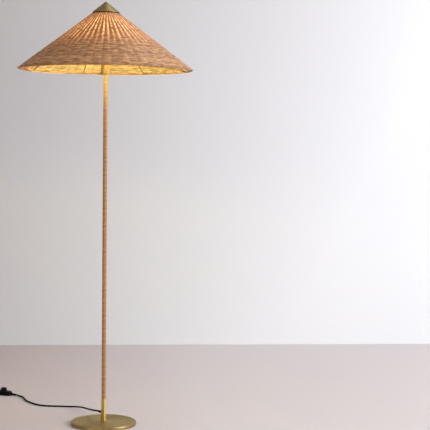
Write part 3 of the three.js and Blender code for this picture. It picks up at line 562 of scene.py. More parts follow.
def glow_group(stakes):
    """Light through the weave: strongest below the cap, in streaks between the stakes."""
    group, given, out = new_group("light_through_weave", {"Hot": WHITE, "Warm": BLACK})
    turn, height = round_place(group)
    between = maths(group, "COSINE", times(group, turn, float(stakes)))
    between = maths(group, "POWER", ranged(group, between, 0.45, -0.9), 2.5)
    gaps = noise(group, together(group, times(group, turn, 9.0)), 1.0, 2.0)
    between = times(group, between, ranged(group, gaps, 0.35, 0.65, 0.55, 1.15))
    flank = maths(group, "ABSOLUTE", maths(group, "SINE", outward_turn(group, uv_parts(group)[1])))
    flank = ranged(group, flank, 0.15, 0.95, 0.30, 1.0)
    beads = noise(group, together(group, times(group, turn, 14.0), times(group, height, 130.0)), 1.0, 2.0, 0.6)
    beads = ranged(group, beads, 0.36, 0.62, 0.22, 1.15)
    high = maths(group, "POWER", ranged(group, height, 1.325, 1.395), 1.5)
    high = times(group, high, ranged(group, height, 1.457, 1.438, 0.5, 1.0))
    stripes = times(group, high, plus(group, between, 0.03))
    broad = maths(group, "COSINE", times(group, turn, stakes / 2.0))
    low = times(group, ranged(group, height, 1.27, 1.38, 0.004, 0.045), ranged(group, broad, -1.0, 1.0, 0.7, 1.0))
    strong = times(group, times(group, plus(group, stripes, low), beads), flank)
    strong = times(group, strong, ranged(group, height, 1.4572, CAP_SHADOW[0]))
    colour = mixed(group, strong, given["Warm"], given["Hot"])
    scaled = add_node(group, "ShaderNodeVectorMath", {0: colour, "Scale": strong}, operation="SCALE")
    group.links.new(scaled.outputs[0], out["Color"])
    return group


# Materials

MATERIALS = {}


def rgba(colour, share=1.0):
    return (*[c * share for c in colour], 1.0)


def new_material(name, **sockets):
    material = bpy.data.materials.new(name)
    material.use_nodes = True
    shader = material.node_tree.nodes["Principled BSDF"]
    for label, value in sockets.items():
        shader.inputs[label.replace("_", " ")].default_value = value
    MATERIALS[name] = material
    return material.node_tree, shader


def add_relief(tree, shader, height, strength, distance):
    values = {"Height": height, "Strength": strength, "Distance": distance}
    tree.links.new(add_node(tree, "ShaderNodeBump", values).outputs[0], shader.inputs["Normal"])


def lay_on(built, group, bump=0.0, distance=0.0002, **values):
    """Links a shared group's colour, roughness and relief to a material's shader."""
    tree, shader = built
    node = add_node(tree, "ShaderNodeGroup", node_tree=group)
    for label, value in values.items():
        node.inputs[label].default_value = value
    for label, socket in (("Color", "Base Color"), ("Roughness", "Roughness")):
        tree.links.new(node.outputs[label], shader.inputs[socket])
    if bump:
        add_relief(tree, shader, node.outputs["Height"], bump, distance)
    return tree, shader, node.outputs["Color"]


def lights_up(tree, shader, colour, strength):
    tree.links.new(colour, shader.inputs["Emission Color"])
    shader.inputs["Emission Strength"].default_value = strength


def brushed_round(tree, shader):
    tangent = add_node(tree, "ShaderNodeTangent", direction_type="RADIAL", axis="Z")
    tree.links.new(tangent.outputs[0], shader.inputs["Tangent"])


def make_reeds(finish, lit, stakes):
    reed, glow = reed_group(stakes), glow_group(stakes)
    light, dark = rgba(finish.reed_light), rgba(finish.reed_dark)
    built = new_material("woven_reed", Specular_IOR_Level=0.75)
    tree, shader, strand = lay_on(built, reed, 0.5, 0.0003, Light=light, Dark=dark, Along=160.0)
    inside = maths(tree, "COSINE", outward_turn(tree, uv_parts(tree)[1]))
    pale = mixed(tree, 1.0, strand, (0.90, 1.20, 1.38, 1), "MULTIPLY")
    tree.links.new(mixed(tree, ranged(tree, inside, 0.0, -0.4), strand, pale), shader.inputs["Base Color"])
    through = add_node(tree, "ShaderNodeGroup", node_tree=glow)
    through.inputs["Hot"].default_value = (1.0, 0.67, 0.27, 1)
    through.inputs["Warm"].default_value = (0.95, 0.32, 0.065, 1)
    lights_up(tree, shader, through.outputs[0], lit * finish.glow_strength)

    built = new_material("stake_reed", Specular_IOR_Level=0.35)
    lay_on(built, reed, 0.4, 0.0003, Light=rgba(finish.reed_light, 0.85), Dark=dark, Along=8.0)

    built = new_material("wound_cane", Specular_IOR_Level=0.3, Coat_Weight=0.05, Coat_Roughness=0.3)
    tree, shader, _ = lay_on(built, reed, 0.4, 0.0002, Light=rgba(finish.cane_light), Dark=rgba(finish.cane_dark),
                             Along=900.0, Across=5.0)
    # painted light: the top of the stem's cane glows yellow, more so towards the cup, for the lit shade's light
    # falling on it
    painted_lamp_glow = ranged(tree, apart(tree, object_place(tree))[2], 1.02, 1.24)
    painted_lamp_glow = mixed(tree, maths(tree, "POWER", painted_lamp_glow, 2.2), BLACK, (1.0, 0.70, 0.11, 1))
    lights_up(tree, shader, painted_lamp_glow, lit * 0.62)


def make_metals(finish):
    patina = patina_group()
    # the cup's brass is the polished brass painted about a fifth lighter, a painted light for the lamp's glow on it
    for name, level, smoothest, dullest in (
        ("polished_brass", 0.97, 0.35, 0.39),
        ("brass_painted_lighter", 1.17, 0.33, 0.37),
    ):
        built = new_material(name, Metallic=1.0, Anisotropic=0.95, Anisotropic_Rotation=0.25)
        lay_on(built, patina, Metal=rgba(finish.polished_brass, level), Clouds=11.0, Smooth=smoothest,
               Tarnish=rgba(finish.polished_brass, 0.85 * level), Dull=dullest)
        brushed_round(*built)

    built = new_material("satin_brass", Metallic=1.0, Anisotropic=0.6, Anisotropic_Rotation=0.25,
                         Specular_Tint=(0.88, 0.79, 0.66, 1))
    lay_on(built, patina, Metal=rgba(finish.satin_brass), Tarnish=rgba(finish.satin_brass, 0.8), Clouds=9.0,
           Smooth=0.40, Dull=0.48)
    tree = built[0]
    turns = add_node(
        tree, "ShaderNodeTexWave", {"Vector": object_place(tree), "Scale": 420.0, "Distortion": 0.6, "Detail": 2.0},
        wave_type="RINGS", rings_direction="Z",
    )
    add_relief(*built, turns.outputs[1], 0.12, 0.00004)
    brushed_round(*built)

    for name, metal, tarnish, smoothest, dullest in (
        ("bare_brass", (0.60, 0.44, 0.18), (0.38, 0.25, 0.09), 0.3, 0.5),
        ("zinc_steel", (0.46, 0.47, 0.49), (0.30, 0.30, 0.31), 0.3, 0.5),
        ("nickel_plate", (0.62, 0.60, 0.55), (0.45, 0.42, 0.38), 0.18, 0.35),
        ("cast_iron", (0.05, 0.05, 0.052), (0.025, 0.022, 0.02), 0.55, 0.8),
        ("bronze_wire", (0.20, 0.12, 0.06), (0.10, 0.055, 0.028), 0.35, 0.5),
    ):
        lay_on(new_material(name, Metallic=1.0), patina, 0.1, 0.00005, Metal=rgba(metal), Tarnish=rgba(tarnish),
               Clouds=40.0, Smooth=smoothest, Dull=dullest)


def make_mouldings(finish, lit):
    moulded = moulded_group()
    for name, base, rubbed, grain, smoothest, dullest, bump, level in (
        ("black_plastic", (0.002, 0.002, 0.002), (0.005, 0.005, 0.005), 1600.0, 0.36, 0.5, 0.25, 0.10),
        ("black_rubber", (0.002, 0.002, 0.002), (0.005, 0.005, 0.005), 900.0, 0.55, 0.7, 0.2, 0.05),
        ("cord_sheath", (0.002, 0.002, 0.002), (0.005, 0.005, 0.005), 700.0, 0.5, 0.65, 0.15, 0.05),
        ("phenolic", (0.010, 0.009, 0.008), (0.024, 0.020, 0.018), 700.0, 0.25, 0.4, 0.1, 0.5),
        ("white_moulding", (0.72, 0.70, 0.64), (0.60, 0.57, 0.50), 500.0, 0.2, 0.35, 0.05, 0.5),
        ("pressed_felt", (0.020, 0.019, 0.018), (0.040, 0.038, 0.036), 1800.0, 0.9, 1.0, 0.8, 0.2),
        ("tie_strap", (0.010, 0.010, 0.010), (0.028, 0.027, 0.027), 2600.0, 0.8, 0.95, 0.9, 0.2),
    ):
        lay_on(new_material(name, Specular_IOR_Level=level), moulded, bump, 0.0001, Base=rgba(base),
               Rubbed=rgba(rubbed), Grain=grain, Smooth=smoothest, Dull=dullest)

    built = new_material("opal_glass", Roughness=0.18, Coat_Weight=0.3)
    tree, shader, _ = lay_on(built, moulded, Base=(0.85, 0.83, 0.78, 1), Rubbed=(0.80, 0.77, 0.70, 1),
                             Grain=300.0, Smooth=0.15, Dull=0.25)
    uneven = ranged(tree, noise(tree, object_place(tree), 18.0, 2.0), 0.3, 0.7)
    warm = mixed(tree, uneven, (0.95, 0.90, 0.29, 1), (0.95, 0.94, 0.33, 1))
    lights_up(tree, shader, warm, lit * finish.bulb_strength)


def finish_named(name):
    """A finish by name; all of them are made when the first one is asked for."""
    if not MATERIALS:
        finish = bpy.context.scene.floor_lamp_finishes
        lit = 1.0 if finish.lamp_lit else 0.0
        make_reeds(finish, lit, bpy.context.scene.floor_lamp_sizes.stakes)
        make_metals(finish)
        make_mouldings(finish, lit)
    return MATERIALS[name]


# Cords


def smooth_route(points, per_step=8):
    """The same smooth curve through the points as the part's source draws, in short steps."""
    points = [Vector(p) for p in points]
    ends = [points[0] * 2 - points[1], *points, points[-1] * 2 - points[-2]]
    route = []
    for p0, p1, p2, p3 in zip(ends, ends[1:], ends[2:], ends[3:]):
        d0, d1, d2 = (math.sqrt((b - a).length) for a, b in ((p0, p1), (p1, p2), (p2, p3)))
        out_of = ((p1 - p0) / d0 - (p2 - p0) / (d0 + d1) + (p2 - p1) / d1) * d1
        into = ((p2 - p1) / d1 - (p3 - p1) / (d1 + d2) + (p3 - p2) / d2) * d1
        for i in range(per_step):
            t = i / per_step
            route.append(
                p1 * (2 * t**3 - 3 * t**2 + 1) + out_of * (t**3 - 2 * t**2 + t)
                + p2 * (3 * t**2 - 2 * t**3) + into * (t**3 - t**2)
            )
    return [*route, points[-1]]


def cord_curve(name, route, diameter=CORD_DIAMETER):
    line = bpy.data.curves.new(name, "CURVE")
    line.dimensions = "3D"
    line.bevel_depth = diameter / 2
    line.bevel_resolution = 5
    line.use_fill_caps = True
    spline = line.splines.new("POLY")
    spline.points.add(len(route) - 1)
    for point, place in zip(spline.points, route):
        point.co = (*place, 1)
    spline.use_smooth = True
    return linked(name, line)


def wire(name, route, diameter):
    """A round wire along a route, as a mesh."""
    pick(cord_curve(name, route, diameter))
    bpy.ops.object.convert(target="MESH")
    return finish_mesh(bpy.context.object, 45)


def heading(turn):
    return Vector((math.cos(turn), math.sin(turn), 0))


def past_gland(side, distance):
    """A point beyond the tip of the switch's gland, towards the stem (1) or the plug (-1)."""
    reach = SWITCH_LENGTH / 2 + SEAT_GAP + GLAND_LENGTH + distance
    place = SWITCH_PLACE + heading(SWITCH_TURN) * (side * reach)
    return Vector((place.x, place.y, GLAND_HEIGHT))


def lead_route():
    way = heading(OUTLET_TURN)
    start = way * (OUTLET_REACH + SEAT_GAP)
    second = way * (OUTLET_REACH + CORD_DIAMETER)
    start.z = second.z = OUTLET_HEIGHT
    return smooth_route([start, second, *LEAD_POINTS, past_gland(1, CORD_DIAMETER), past_gland(1, SEAT_GAP)])


def coil_places():
    """Where the coil starts, its middle, and the way the lead runs there."""
    run_turn = SWITCH_TURN + math.pi
    first = run_turn - math.pi / 2
    start = past_gland(-1, RUN_LENGTH)
    start.z = COIL_LIFT + CORD_DIAMETER / 2
    return start, start - heading(first) * COIL_OUTER, first, heading(run_turn)


def run_route():
    start, centre, first, way = coil_places()
    approach = [past_gland(-1, SEAT_GAP), past_gland(-1, CORD_DIAMETER), start - way * 2 * CORD_DIAMETER,
                start - way * CORD_DIAMETER]
    route = smooth_route(approach, 4)
    total = math.tau * COIL_TURNS
    steps = COIL_TURNS * COIL_STEPS
    for i in range(steps + 1):
        from_reversal = total * (i / steps - 0.5)
        radius = COIL_INNER + COIL_PITCH * abs(from_reversal) / math.tau
        climb = min(max((from_reversal + math.pi / 2) / math.pi, 0), 1)
        climb = climb * climb * (3 - 2 * climb)
        place = centre + heading(first + total * i / steps) * radius
        route.append(Vector((place.x, place.y, centre.z + COIL_PITCH * climb)))
    end = route[-1]
    tail_end = end + way * (CORD_DIAMETER + SEAT_GAP + TAIL_LENGTH)
    tail_end.z = PLUG_THICKNESS / 2 + FLOOR_GAP
    tail = [end + way * (CORD_DIAMETER + SEAT_GAP), end + way * 2 * CORD_DIAMETER,
            tail_end - way * CORD_DIAMETER, tail_end]
    return [*route, end + way * CORD_DIAMETER, *smooth_route(tail, 4)]


class FLOORLAMP_OT_lead(Operator):
    """Lay the lead from the stem to the foot switch and on to the plug"""

    bl_idname = "floor_lamp.lead"
    bl_label = "Mains lead"

    def execute(self, context):
        lead = cord_curve("lead_to_switch", lead_route())
        dressed(lead, "cord_sheath", "black_rubber", "stand", "cord_lead")
        run = cord_curve("lead_to_plug", run_route())
        dressed(run, "cord_sheath", "black_rubber", "stand", "cord_run", "cord_coil", "cord_tail")
        return {"FINISHED"}


def declare_cords():
    """Works out the routes of the free cords; nothing is made from them."""
    route = lead_route()
    route = run_route()


class FLOORLAMP_OT_camera(Operator):
    """Set the camera where the photograph was taken"""

    bl_idname = "floor_lamp.camera"
    bl_label = "Camera"

    def execute(self, context):
        yaw, pitch, roll = math.radians(4.977), math.radians(3.154), math.radians(0.620)
        ahead = Vector((math.sin(yaw) * math.cos(pitch), math.cos(yaw) * math.cos(pitch), -math.sin(pitch)))
        level = Vector((math.cos(yaw), -math.sin(yaw), 0))
        upright = level.cross(ahead)
        right = level * math.cos(roll) + upright * math.sin(roll)
        up = upright * math.cos(roll) - level * math.sin(roll)
        data = bpy.data.cameras.new("camera")
        data.sensor_width = 36
        data.lens = 106.13
        camera = linked("camera", data)
        turn = Matrix((right, up, -ahead)).transposed().to_4x4()
        camera.matrix_world = Matrix.Translation((0, -4.5, 1.0)) @ turn
        context.scene.camera = camera
        return {"FINISHED"}


# Shade


def border_ring():
    """Half the border's thickness, and the radius and height of its middle."""
    outer, foot, top = span("shade_border")
    section = (top - foot) / 2
    return section, outer - section, foot + section


def weave_middle(along):
    """Radius and height of the weave's middle at a share of the way from crown to rim."""
    _, border, rim_height = border_ring()
    radius = CROWN_RADIUS + (border - WEAVE_SETBACK - CROWN_RADIUS) * along
    return radius, rim_height + (border - radius) * math.tan(SHADE_PITCH)


def bend_row(row, radius, height, sizes, phase, sway, wobble):
    """Flattens the ring's reed, bows it in and out round the stakes and makes it a little uneven."""
    rib_share = 0.22
    places, turn = places_of(row)
    out, up = np.hypot(places[:, 0], places[:, 1]) - radius, places[:, 2]
    flat = (out * SLOPE_OUT.x + up * SLOPE_OUT.z) * (sizes.weaver_thickness / sizes.weaver_width - 1)
    waves = sizes.stakes / 2 * turn
    shift = flat + sway * (np.cos(waves + phase) + rib_share * np.cos(waves))
    uneven = wobble[0] * np.sin(3 * turn + wobble[1]) + wobble[2] * np.sin(7 * turn + wobble[3])
    move_out_and_up(row, places, turn, shift * SLOPE_OUT.x + uneven * SLOPE_DOWN.x,
                    shift * SLOPE_OUT.z + uneven * SLOPE_DOWN.z + height)


class FLOORLAMP_OT_weave(Operator):
    """Weave the rows of reed round the stakes"""

    bl_idname = "floor_lamp.weave"
    bl_label = "Woven rows"

    def execute(self, context):
        sizes = context.scene.floor_lamp_sizes
        chance = random.Random(11)
        bands, rows, drift = 5, [], 0.0
        for i in range(sizes.weavers):
            along = i / (sizes.weavers - 1)
            radius, height = weave_middle(along)
            thick = sizes.weaver_width / 2 * chance.uniform(0.98, 1.03)
            row = torus(f"row_{i}", radius, thick, 4 * sizes.stakes, 8)
            sway = sizes.crown_sway + (sizes.rim_sway - sizes.crown_sway) * along
            wobble = [chance.uniform(0, most) for most in (0.00012, 6, 0.00006, 6)]
            bend_row(row, radius, height, sizes, math.pi * i, sway, wobble)
            drift = 0.5 * drift + chance.gauss(0, 0.07)
            give_tone(row, min(max(0.5 + drift + chance.gauss(0, 0.26), 0), 1))
            rows.append(row)
        per_band = math.ceil(len(rows) / bands)
        for k in range(bands):
            pick(*rows[k * per_band:(k + 1) * per_band])
            bpy.ops.object.join()
            band = named(f"woven_rows_{k + 1}")
            bpy.ops.object.shade_smooth()
            stands_for = ("shade_weave",) if k == 0 else ()
            dressed(band, "woven_reed", "rattan", "shade", *stands_for)
        return {"FINISHED"}


class FLOORLAMP_OT_stakes(Operator):
    """Set the upright stakes that the rows are woven round"""

    bl_idname = "floor_lamp.stakes"
    bl_label = "Stakes"

    def execute(self, context):
        sizes = context.scene.floor_lamp_sizes
        start, end = weave_middle(0.035), weave_middle(1.0)
        way = Vector((end[0] - start[0], 0, end[1] - start[1]))
        middle = Vector(((end[0] + start[0]) / 2, 0, (end[1] + start[1]) / 2))
        clear_selection()
        bpy.ops.mesh.primitive_cone_add(
            vertices=8, radius1=sizes.stake_radius, radius2=sizes.stake_radius * 0.55, depth=way.length,
            location=middle, rotation=(-way).to_track_quat("Z", "Y").to_euler(),
        )
        stakes = apply_place(named("stakes"))
        open_up(stakes)
        bpy.ops.mesh.subdivide(number_cuts=1)
        bpy.ops.mesh.select_all(action="SELECT")
        copies = sizes.stakes - 1
        bpy.ops.mesh.spin(
            steps=copies, dupli=True, angle=math.tau * copies / sizes.stakes, center=(0, 0, 0), axis=(0, 0, 1)
        )
        smooth(stakes, 50)
        give_tone(stakes, 0.0)
        dressed(stakes, "stake_reed", "rattan", "shade")
        return {"FINISHED"}


class FLOORLAMP_OT_border(Operator):
    """Twist the reeds of the border round the rim"""

    bl_idname = "floor_lamp.border"
    bl_label = "Rolled border"

    def execute(self, context):
        section, radius, height = border_ring()
        strand, twists, count, strands = 0.0019, 84, 3, []
        for k in range(count):
            ring = torus(f"strand_{k}", radius, strand, 10 * twists, 7)
            places, turn = places_of(ring)
            lay = twists * turn + math.tau * k / count
            reach = section - strand
            move_out_and_up(ring, places, turn, reach * np.cos(lay), reach * np.sin(lay) + height)
            give_tone(ring, 0.35 + 0.2 * k)
            strands.append(ring)
        pick(*strands)
        bpy.ops.object.join()
        border = named("rolled_border")
        bpy.ops.object.shade_smooth()
        dressed(border, "stake_reed", "rattan", "shade", "shade_border")
        return {"FINISHED"}


class FLOORLAMP_OT_frame(Operator):
    """Make the reed-bound ring and wires inside the shade, and the bow round the bulb"""

    bl_idname = "floor_lamp.frame"
    bl_label = "Shade frame"

    def execute(self, context):
        outer, foot, top = span("frame_ring")
        # the node's ring is six-sided, so its thickness across the flats is less than across the corners
        section = (top - foot) / math.sqrt(3)
        radius, height = outer - section, (top + foot) / 2
        ring = placed(torus("rim_wire", radius, section, 168, 10), (0, 0, height))
        bpy.ops.object.shade_smooth()
        give_tone(ring, 0.55)
        dressed(ring, "stake_reed", "rattan", "shade", "frame_ring")
        self.wires(Vector((radius, 0, height)), section)
        softened("frame_hub", "wire_hub", "bronze_wire", "black_wire", 0.0005)
        softened("carrier_plate", "bow_plate", "bronze_wire", "black_wire")
        foot = bottom_of("carrier_bow")
        rise = top_of("carrier_bow") - BOW_WIRE / 2 - foot
        side = [(BOW_HALF_WIDTH * wide, rise * high) for wide, high in BOW_SHARES]
        side = [(BOW_LUG, 0), (BOW_LUG, BOW_WIRE), *side]
        bend = [*side, (0, rise), *[(-x, z) for x, z in reversed(side)]]
        bow = wire("bulb_bow", smooth_route([(x, 0, foot + z) for x, z in bend]), BOW_WIRE)
        dressed(bow, "bronze_wire", "black_wire", "stand", "carrier_bow")
        return {"FINISHED"}

    def wires(self, rim, section):
        half, edge = FRAME_WIRE / 2, 0.0004
        start = Vector((HUB_WIRE_START, 0, bottom_of("frame_hub") - half / math.cos(SHADE_PITCH) - SEAT_GAP))
        way = rim - start
        length = way.length - section - SEAT_GAP
        outline = [(0, 0), *arc(half - edge, edge, edge, -90, 0, 3), *arc(half - edge, length - edge, edge, 0, 90, 3),
                   (0, length)]
        rods = [turned("shade_wire_1", outline, 16)]
        for i in range(2, FRAME_WIRES + 1):
            pick(rods[0])
            bpy.ops.object.duplicate()
            rods.append(named(f"shade_wire_{i}"))
        for i, rod in enumerate(rods):
            turn = FRAME_FIRST_TURN + math.tau * i / FRAME_WIRES
            placed(rod, heading(turn) * start.x + Vector((0, 0, start.z)), turn, math.atan2(way.x, way.z))
            dressed(rod, "bronze_wire", "black_wire", "shade", f"frame_wire_{i + 1}")


class FLOORLAMP_OT_cap(Operator):
    """Spin the brass cap with its rolled lower edge"""

    bl_idname = "floor_lamp.cap"
    bl_label = "Cap"

    def execute(self, context):
        radius, foot, tip = span("cap_cone")
        rise, reach = CAP_WALL / math.cos(CAP_PITCH), CAP_WALL / math.sin(CAP_PITCH)
        lip, blunt = 0.0007, 0.0022
        outline = [
            (0, tip - rise), (radius - reach, foot), *arc(radius - lip, foot + lip, lip, -90, 30, 5),
            (blunt, tip - blunt * math.tan(CAP_PITCH)), (0.0012, tip - 0.0013), (0, tip - 0.0009),
        ]
        dressed(turned("brass_cap", outline, 128, 30), "satin_brass", "polished_brass", "cap", "cap_cone")
        return {"FINISHED"}


# Stem and lampholder


class FLOORLAMP_OT_winding(Operator):
    """Wind the stem with peeled cane"""

    bl_idname = "floor_lamp.winding"
    bl_label = "Cane winding"

    def execute(self, context):
        pitch = context.scene.floor_lamp_sizes.cane_pitch
        outer, low, high = span("stem_wrap")
        inner, half = outer - 0.0007, pitch * 0.485
        crown = [(outer - 0.00034, half), (outer - 0.00010, half * 0.78), (outer, half * 0.35)]
        section = [(inner, -half), (inner, half), *crown, *[(radius, -side) for radius, side in reversed(crown)]]
        winding = outline_mesh("cane_winding", [(radius, 0, low - pitch + side) for radius, side in section])
        modified(winding, "SCREW", steps=20, render_steps=20, iterations=math.ceil((high - low) / pitch) + 2,
                 screw_offset=pitch, use_stretch_u=True, use_stretch_v=True)
        for level, side in ((low, 1), (high, -1)):
            open_up(winding)
            bpy.ops.mesh.bisect(plane_co=(0, 0, level), plane_no=(0, 0, side), clear_inner=True, use_fill=True)
        finish_mesh(winding, 40)
        places, turn = places_of(winding)
        number = np.floor((places[:, 2] - low) / pitch - turn / math.tau + 0.5)
        give_tone(winding, 0.5 + 0.28 * np.sin(number * 12.9898) * np.cos(number * 4.1414))
        dressed(winding, "wound_cane", "cane", "stand", "stem_wrap")
        return {"FINISHED"}


class FLOORLAMP_OT_brass(Operator):
    """Turn the brass sleeve and cup, and dress what is in the stem and lampholder"""

    bl_idname = "floor_lamp.brass"
    bl_label = "Sleeve and cup"

    def execute(self, context):
        way, edge = heading(OUTLET_TURN), 0.0004
        outer, low, high = span("lower_sleeve")
        inner = outer - SLEEVE_WALL
        outline = [(inner, low), (outer - edge, low), *arc(outer - edge, low + edge, edge, -60, 0, 3),
                   *arc(outer - edge, high - edge, edge, 0, 90, 4), (inner, high)]
        sleeve = turned("foot_sleeve", outline, 72)
        place = way * DRILL_MIDDLE + Vector((0, 0, OUTLET_HEIGHT))
        drill = cylinder("drill", OUTLET_HOLE, DRILL_LENGTH, place, 40, (0, math.pi / 2, OUTLET_TURN))
        cut_with(sleeve, drill, 35)
        dressed(sleeve, "polished_brass", "polished_brass", "stand", "lower_sleeve")

        outer, low, high = span("socket_cup")
        inner, floor, hole = outer - CUP_WALL, low + CUP_FLOOR, BORE_WALL_RADIUS
        outline = [(hole, low), (outer - CUP_CORNER, low),
                   *arc(outer - CUP_CORNER, low + CUP_CORNER, CUP_CORNER, -80, 0, 6),
                   *arc(outer - edge, high - edge, edge, 0, 90, 4), (inner, high), (inner, floor), (hole, floor)]
        dressed(turned("lampholder_cup", outline), "brass_painted_lighter", "polished_brass", "stand", "socket_cup")
        softened("holder_ring_nut", "ring_nut", "polished_brass", "polished_brass")
        softened("lampholder_body", "porcelain_holder", "white_moulding", "white_plastic", 0.0006)

        up = Vector((0, 0, 1))
        bend = [way * (OUTLET_REACH - 0.001), way * 2 * STEM_BORE, way * STEM_BORE, (way + up) * STEM_BORE / 4,
                up * STEM_BORE, up * 3 * STEM_BORE, up * (top_of("inner_flex") - OUTLET_HEIGHT)]
        flex = wire("flex_in_stem", smooth_route([point + up * OUTLET_HEIGHT for point in bend]), 2 * FLEX_RADIUS)
        dressed(flex, "black_rubber", "black_rubber", "stand", "inner_flex")
        coat("bare_brass", "screw_shell", "centre_contact", "lower_bushing", "upper_bushing")
        coat("zinc_steel", "stem_tube", "top_nipple", "cup_nut", "carrier_stud", "cap_boss")
        coat("nickel_plate", "bulb_tip")
        return {"FINISHED"}


class FLOORLAMP_OT_bulb(Operator):
    """Blow the bulb's opal glass"""

    bl_idname = "floor_lamp.bulb"
    bl_label = "Bulb"

    def execute(self, context):
        radius, low, high = span("bulb_glass")
        wall, length = 0.001, high - low
        shoulder = arc(0, high - radius, radius, -28, 80, 18)
        neck = [(0.0126, low), (0.0129, low + 0.10 * length), (0.0134, low + 0.215 * length),
                (0.0165, low + 0.315 * length), (0.0215, low + 0.40 * length)]
        outer = [*neck, *shoulder, (0, high)]
        inner = [(max(r - wall, 0), min(z, high - wall)) for r, z in reversed(outer)]
        inner = [point for point in inner if point[1] > low] + [(neck[0][0] - wall, low)]
        glass = turned("opal_bulb", [*outer, *inner], 64, 60)
        dressed(glass, "opal_glass", "opal_glass", "bulb", "bulb_glass")

        radius, low, high = span("bulb_cap")
        cone, crest, turns, per_turn = 0.005, 0.0007, 6, 8
        thread = []
        for i in range(turns * per_turn + 1):
            depth = crest * (1 - math.cos(math.tau * i / per_turn)) / 2
            thread.append((radius - depth, low + cone + (high - low - cone - wall) * i / (turns * per_turn)))
        outline = [(0, low), (radius * 0.45, low), (radius * 0.86, low + cone - wall), *thread,
                   (radius - 0.0002, high), (0, high)]
        dressed(turned("screw_cap", outline, 64, 40), "nickel_plate", "nickel", "bulb", "bulb_cap")
        return {"FINISHED"}


# Base


class FLOORLAMP_OT_base(Operator):
    """Spin the brass cover of the base and dress what is under it"""

    bl_idname = "floor_lamp.base"
    bl_label = "Base"

    def execute(self, context):
        outer, low, high = span("base_cover")
        wall, edge, hole, hem = BASE_WALL, BASE_EDGE, BORE_WALL_RADIUS, 0.0005
        outline = [
            (hole, high - wall), *arc(outer - edge, high - edge, edge - wall, 90, 0, 6), (outer - wall, low),
            *arc(outer - hem, low + hem, hem, -90, 0, 3), *arc(outer - edge, high - edge, edge, 0, 90, 10),
            (outer * 0.72, high), (outer * 0.45, high), (outer * 0.2, high), (hole, high),
        ]
        dressed(turned("spun_base", outline, 192, 30), "satin_brass", "satin_brass", "stand", "base_cover")
        softened("base_pad", "felt_pad", "pressed_felt", "felt")
        coat("cast_iron", "base_weight")
        coat("zinc_steel", "base_stud", "base_nut", "base_washer")
        return {"FINISHED"}


# Foot switch, outlets and plug


def tapered(name, root, tip, length, collar, collar_length):
    """A strain relief along the upright axis: a collar, then rings that shrink to the tip."""
    bore, groove, rings = CORD_DIAMETER / 2 - 0.0002, 0.0006, 5
    outline = [(bore, 0), (collar - 0.0005, 0), (collar, 0.0005), (collar, collar_length - 0.0004),
               (collar - 0.0004, collar_length)]
    step = (length - collar_length) / rings
    for i in range(rings):
        low = collar_length + step * i
        wide = root + (tip - root) * (i + 0.15) / rings
        outline += [(wide - groove, low + 0.08 * step), (wide, low + 0.22 * step),
                    (wide - 0.0001, low + 0.78 * step), (wide - groove, low + 0.92 * step)]
    outline += [(tip - 0.0004, length), (bore, length)]
    return turned(name, outline, 28, 40)


def point_along(piece, place, turn):
    """Lays an upright piece so that it points level along a turn, from a place."""
    return placed(piece, place, turn, math.pi / 2)


class FLOORLAMP_OT_outlet(Operator):
    """Turn the tapered outlet where the lead leaves the stem"""

    bl_idname = "floor_lamp.outlet"
    bl_label = "Cord outlet"

    def execute(self, context):
        face = span("lower_sleeve")[0] + SEAT_GAP
        way, level = heading(OUTLET_TURN), Vector((0, 0, OUTLET_HEIGHT))
        outlet = tapered("lead_outlet", RELIEF_ROOT, RELIEF_TIP, OUTLET_REACH - face, 0.0058, 0.0024)
        point_along(outlet, way * face + level, OUTLET_TURN)
        inner, outer, depth = 0.0026, 0.0046, 0.0016
        neck = turned("outlet_neck", [(inner, 0), (outer, 0), (outer, depth), (inner, depth)], 28)
        point_along(neck, way * (face - 0.0014) + level, OUTLET_TURN)
        dressed(outlet, "black_rubber", "black_rubber", "stand", "cord_outlet")
        dressed(neck, "black_rubber", "black_rubber", "stand")
        return {"FINISHED"}


def switch_rings(steps, base=0.0):
    """Outlines of the switch, each a share of its full size at a height."""
    rings = []
    for share, height in steps:
        points = oval(SWITCH_LENGTH / 2 * share, SWITCH_WIDTH / 2 * share, SWITCH_SQUARENESS, 64)
        rings.append([(x, y, base + height) for x, y in points])
    return rings


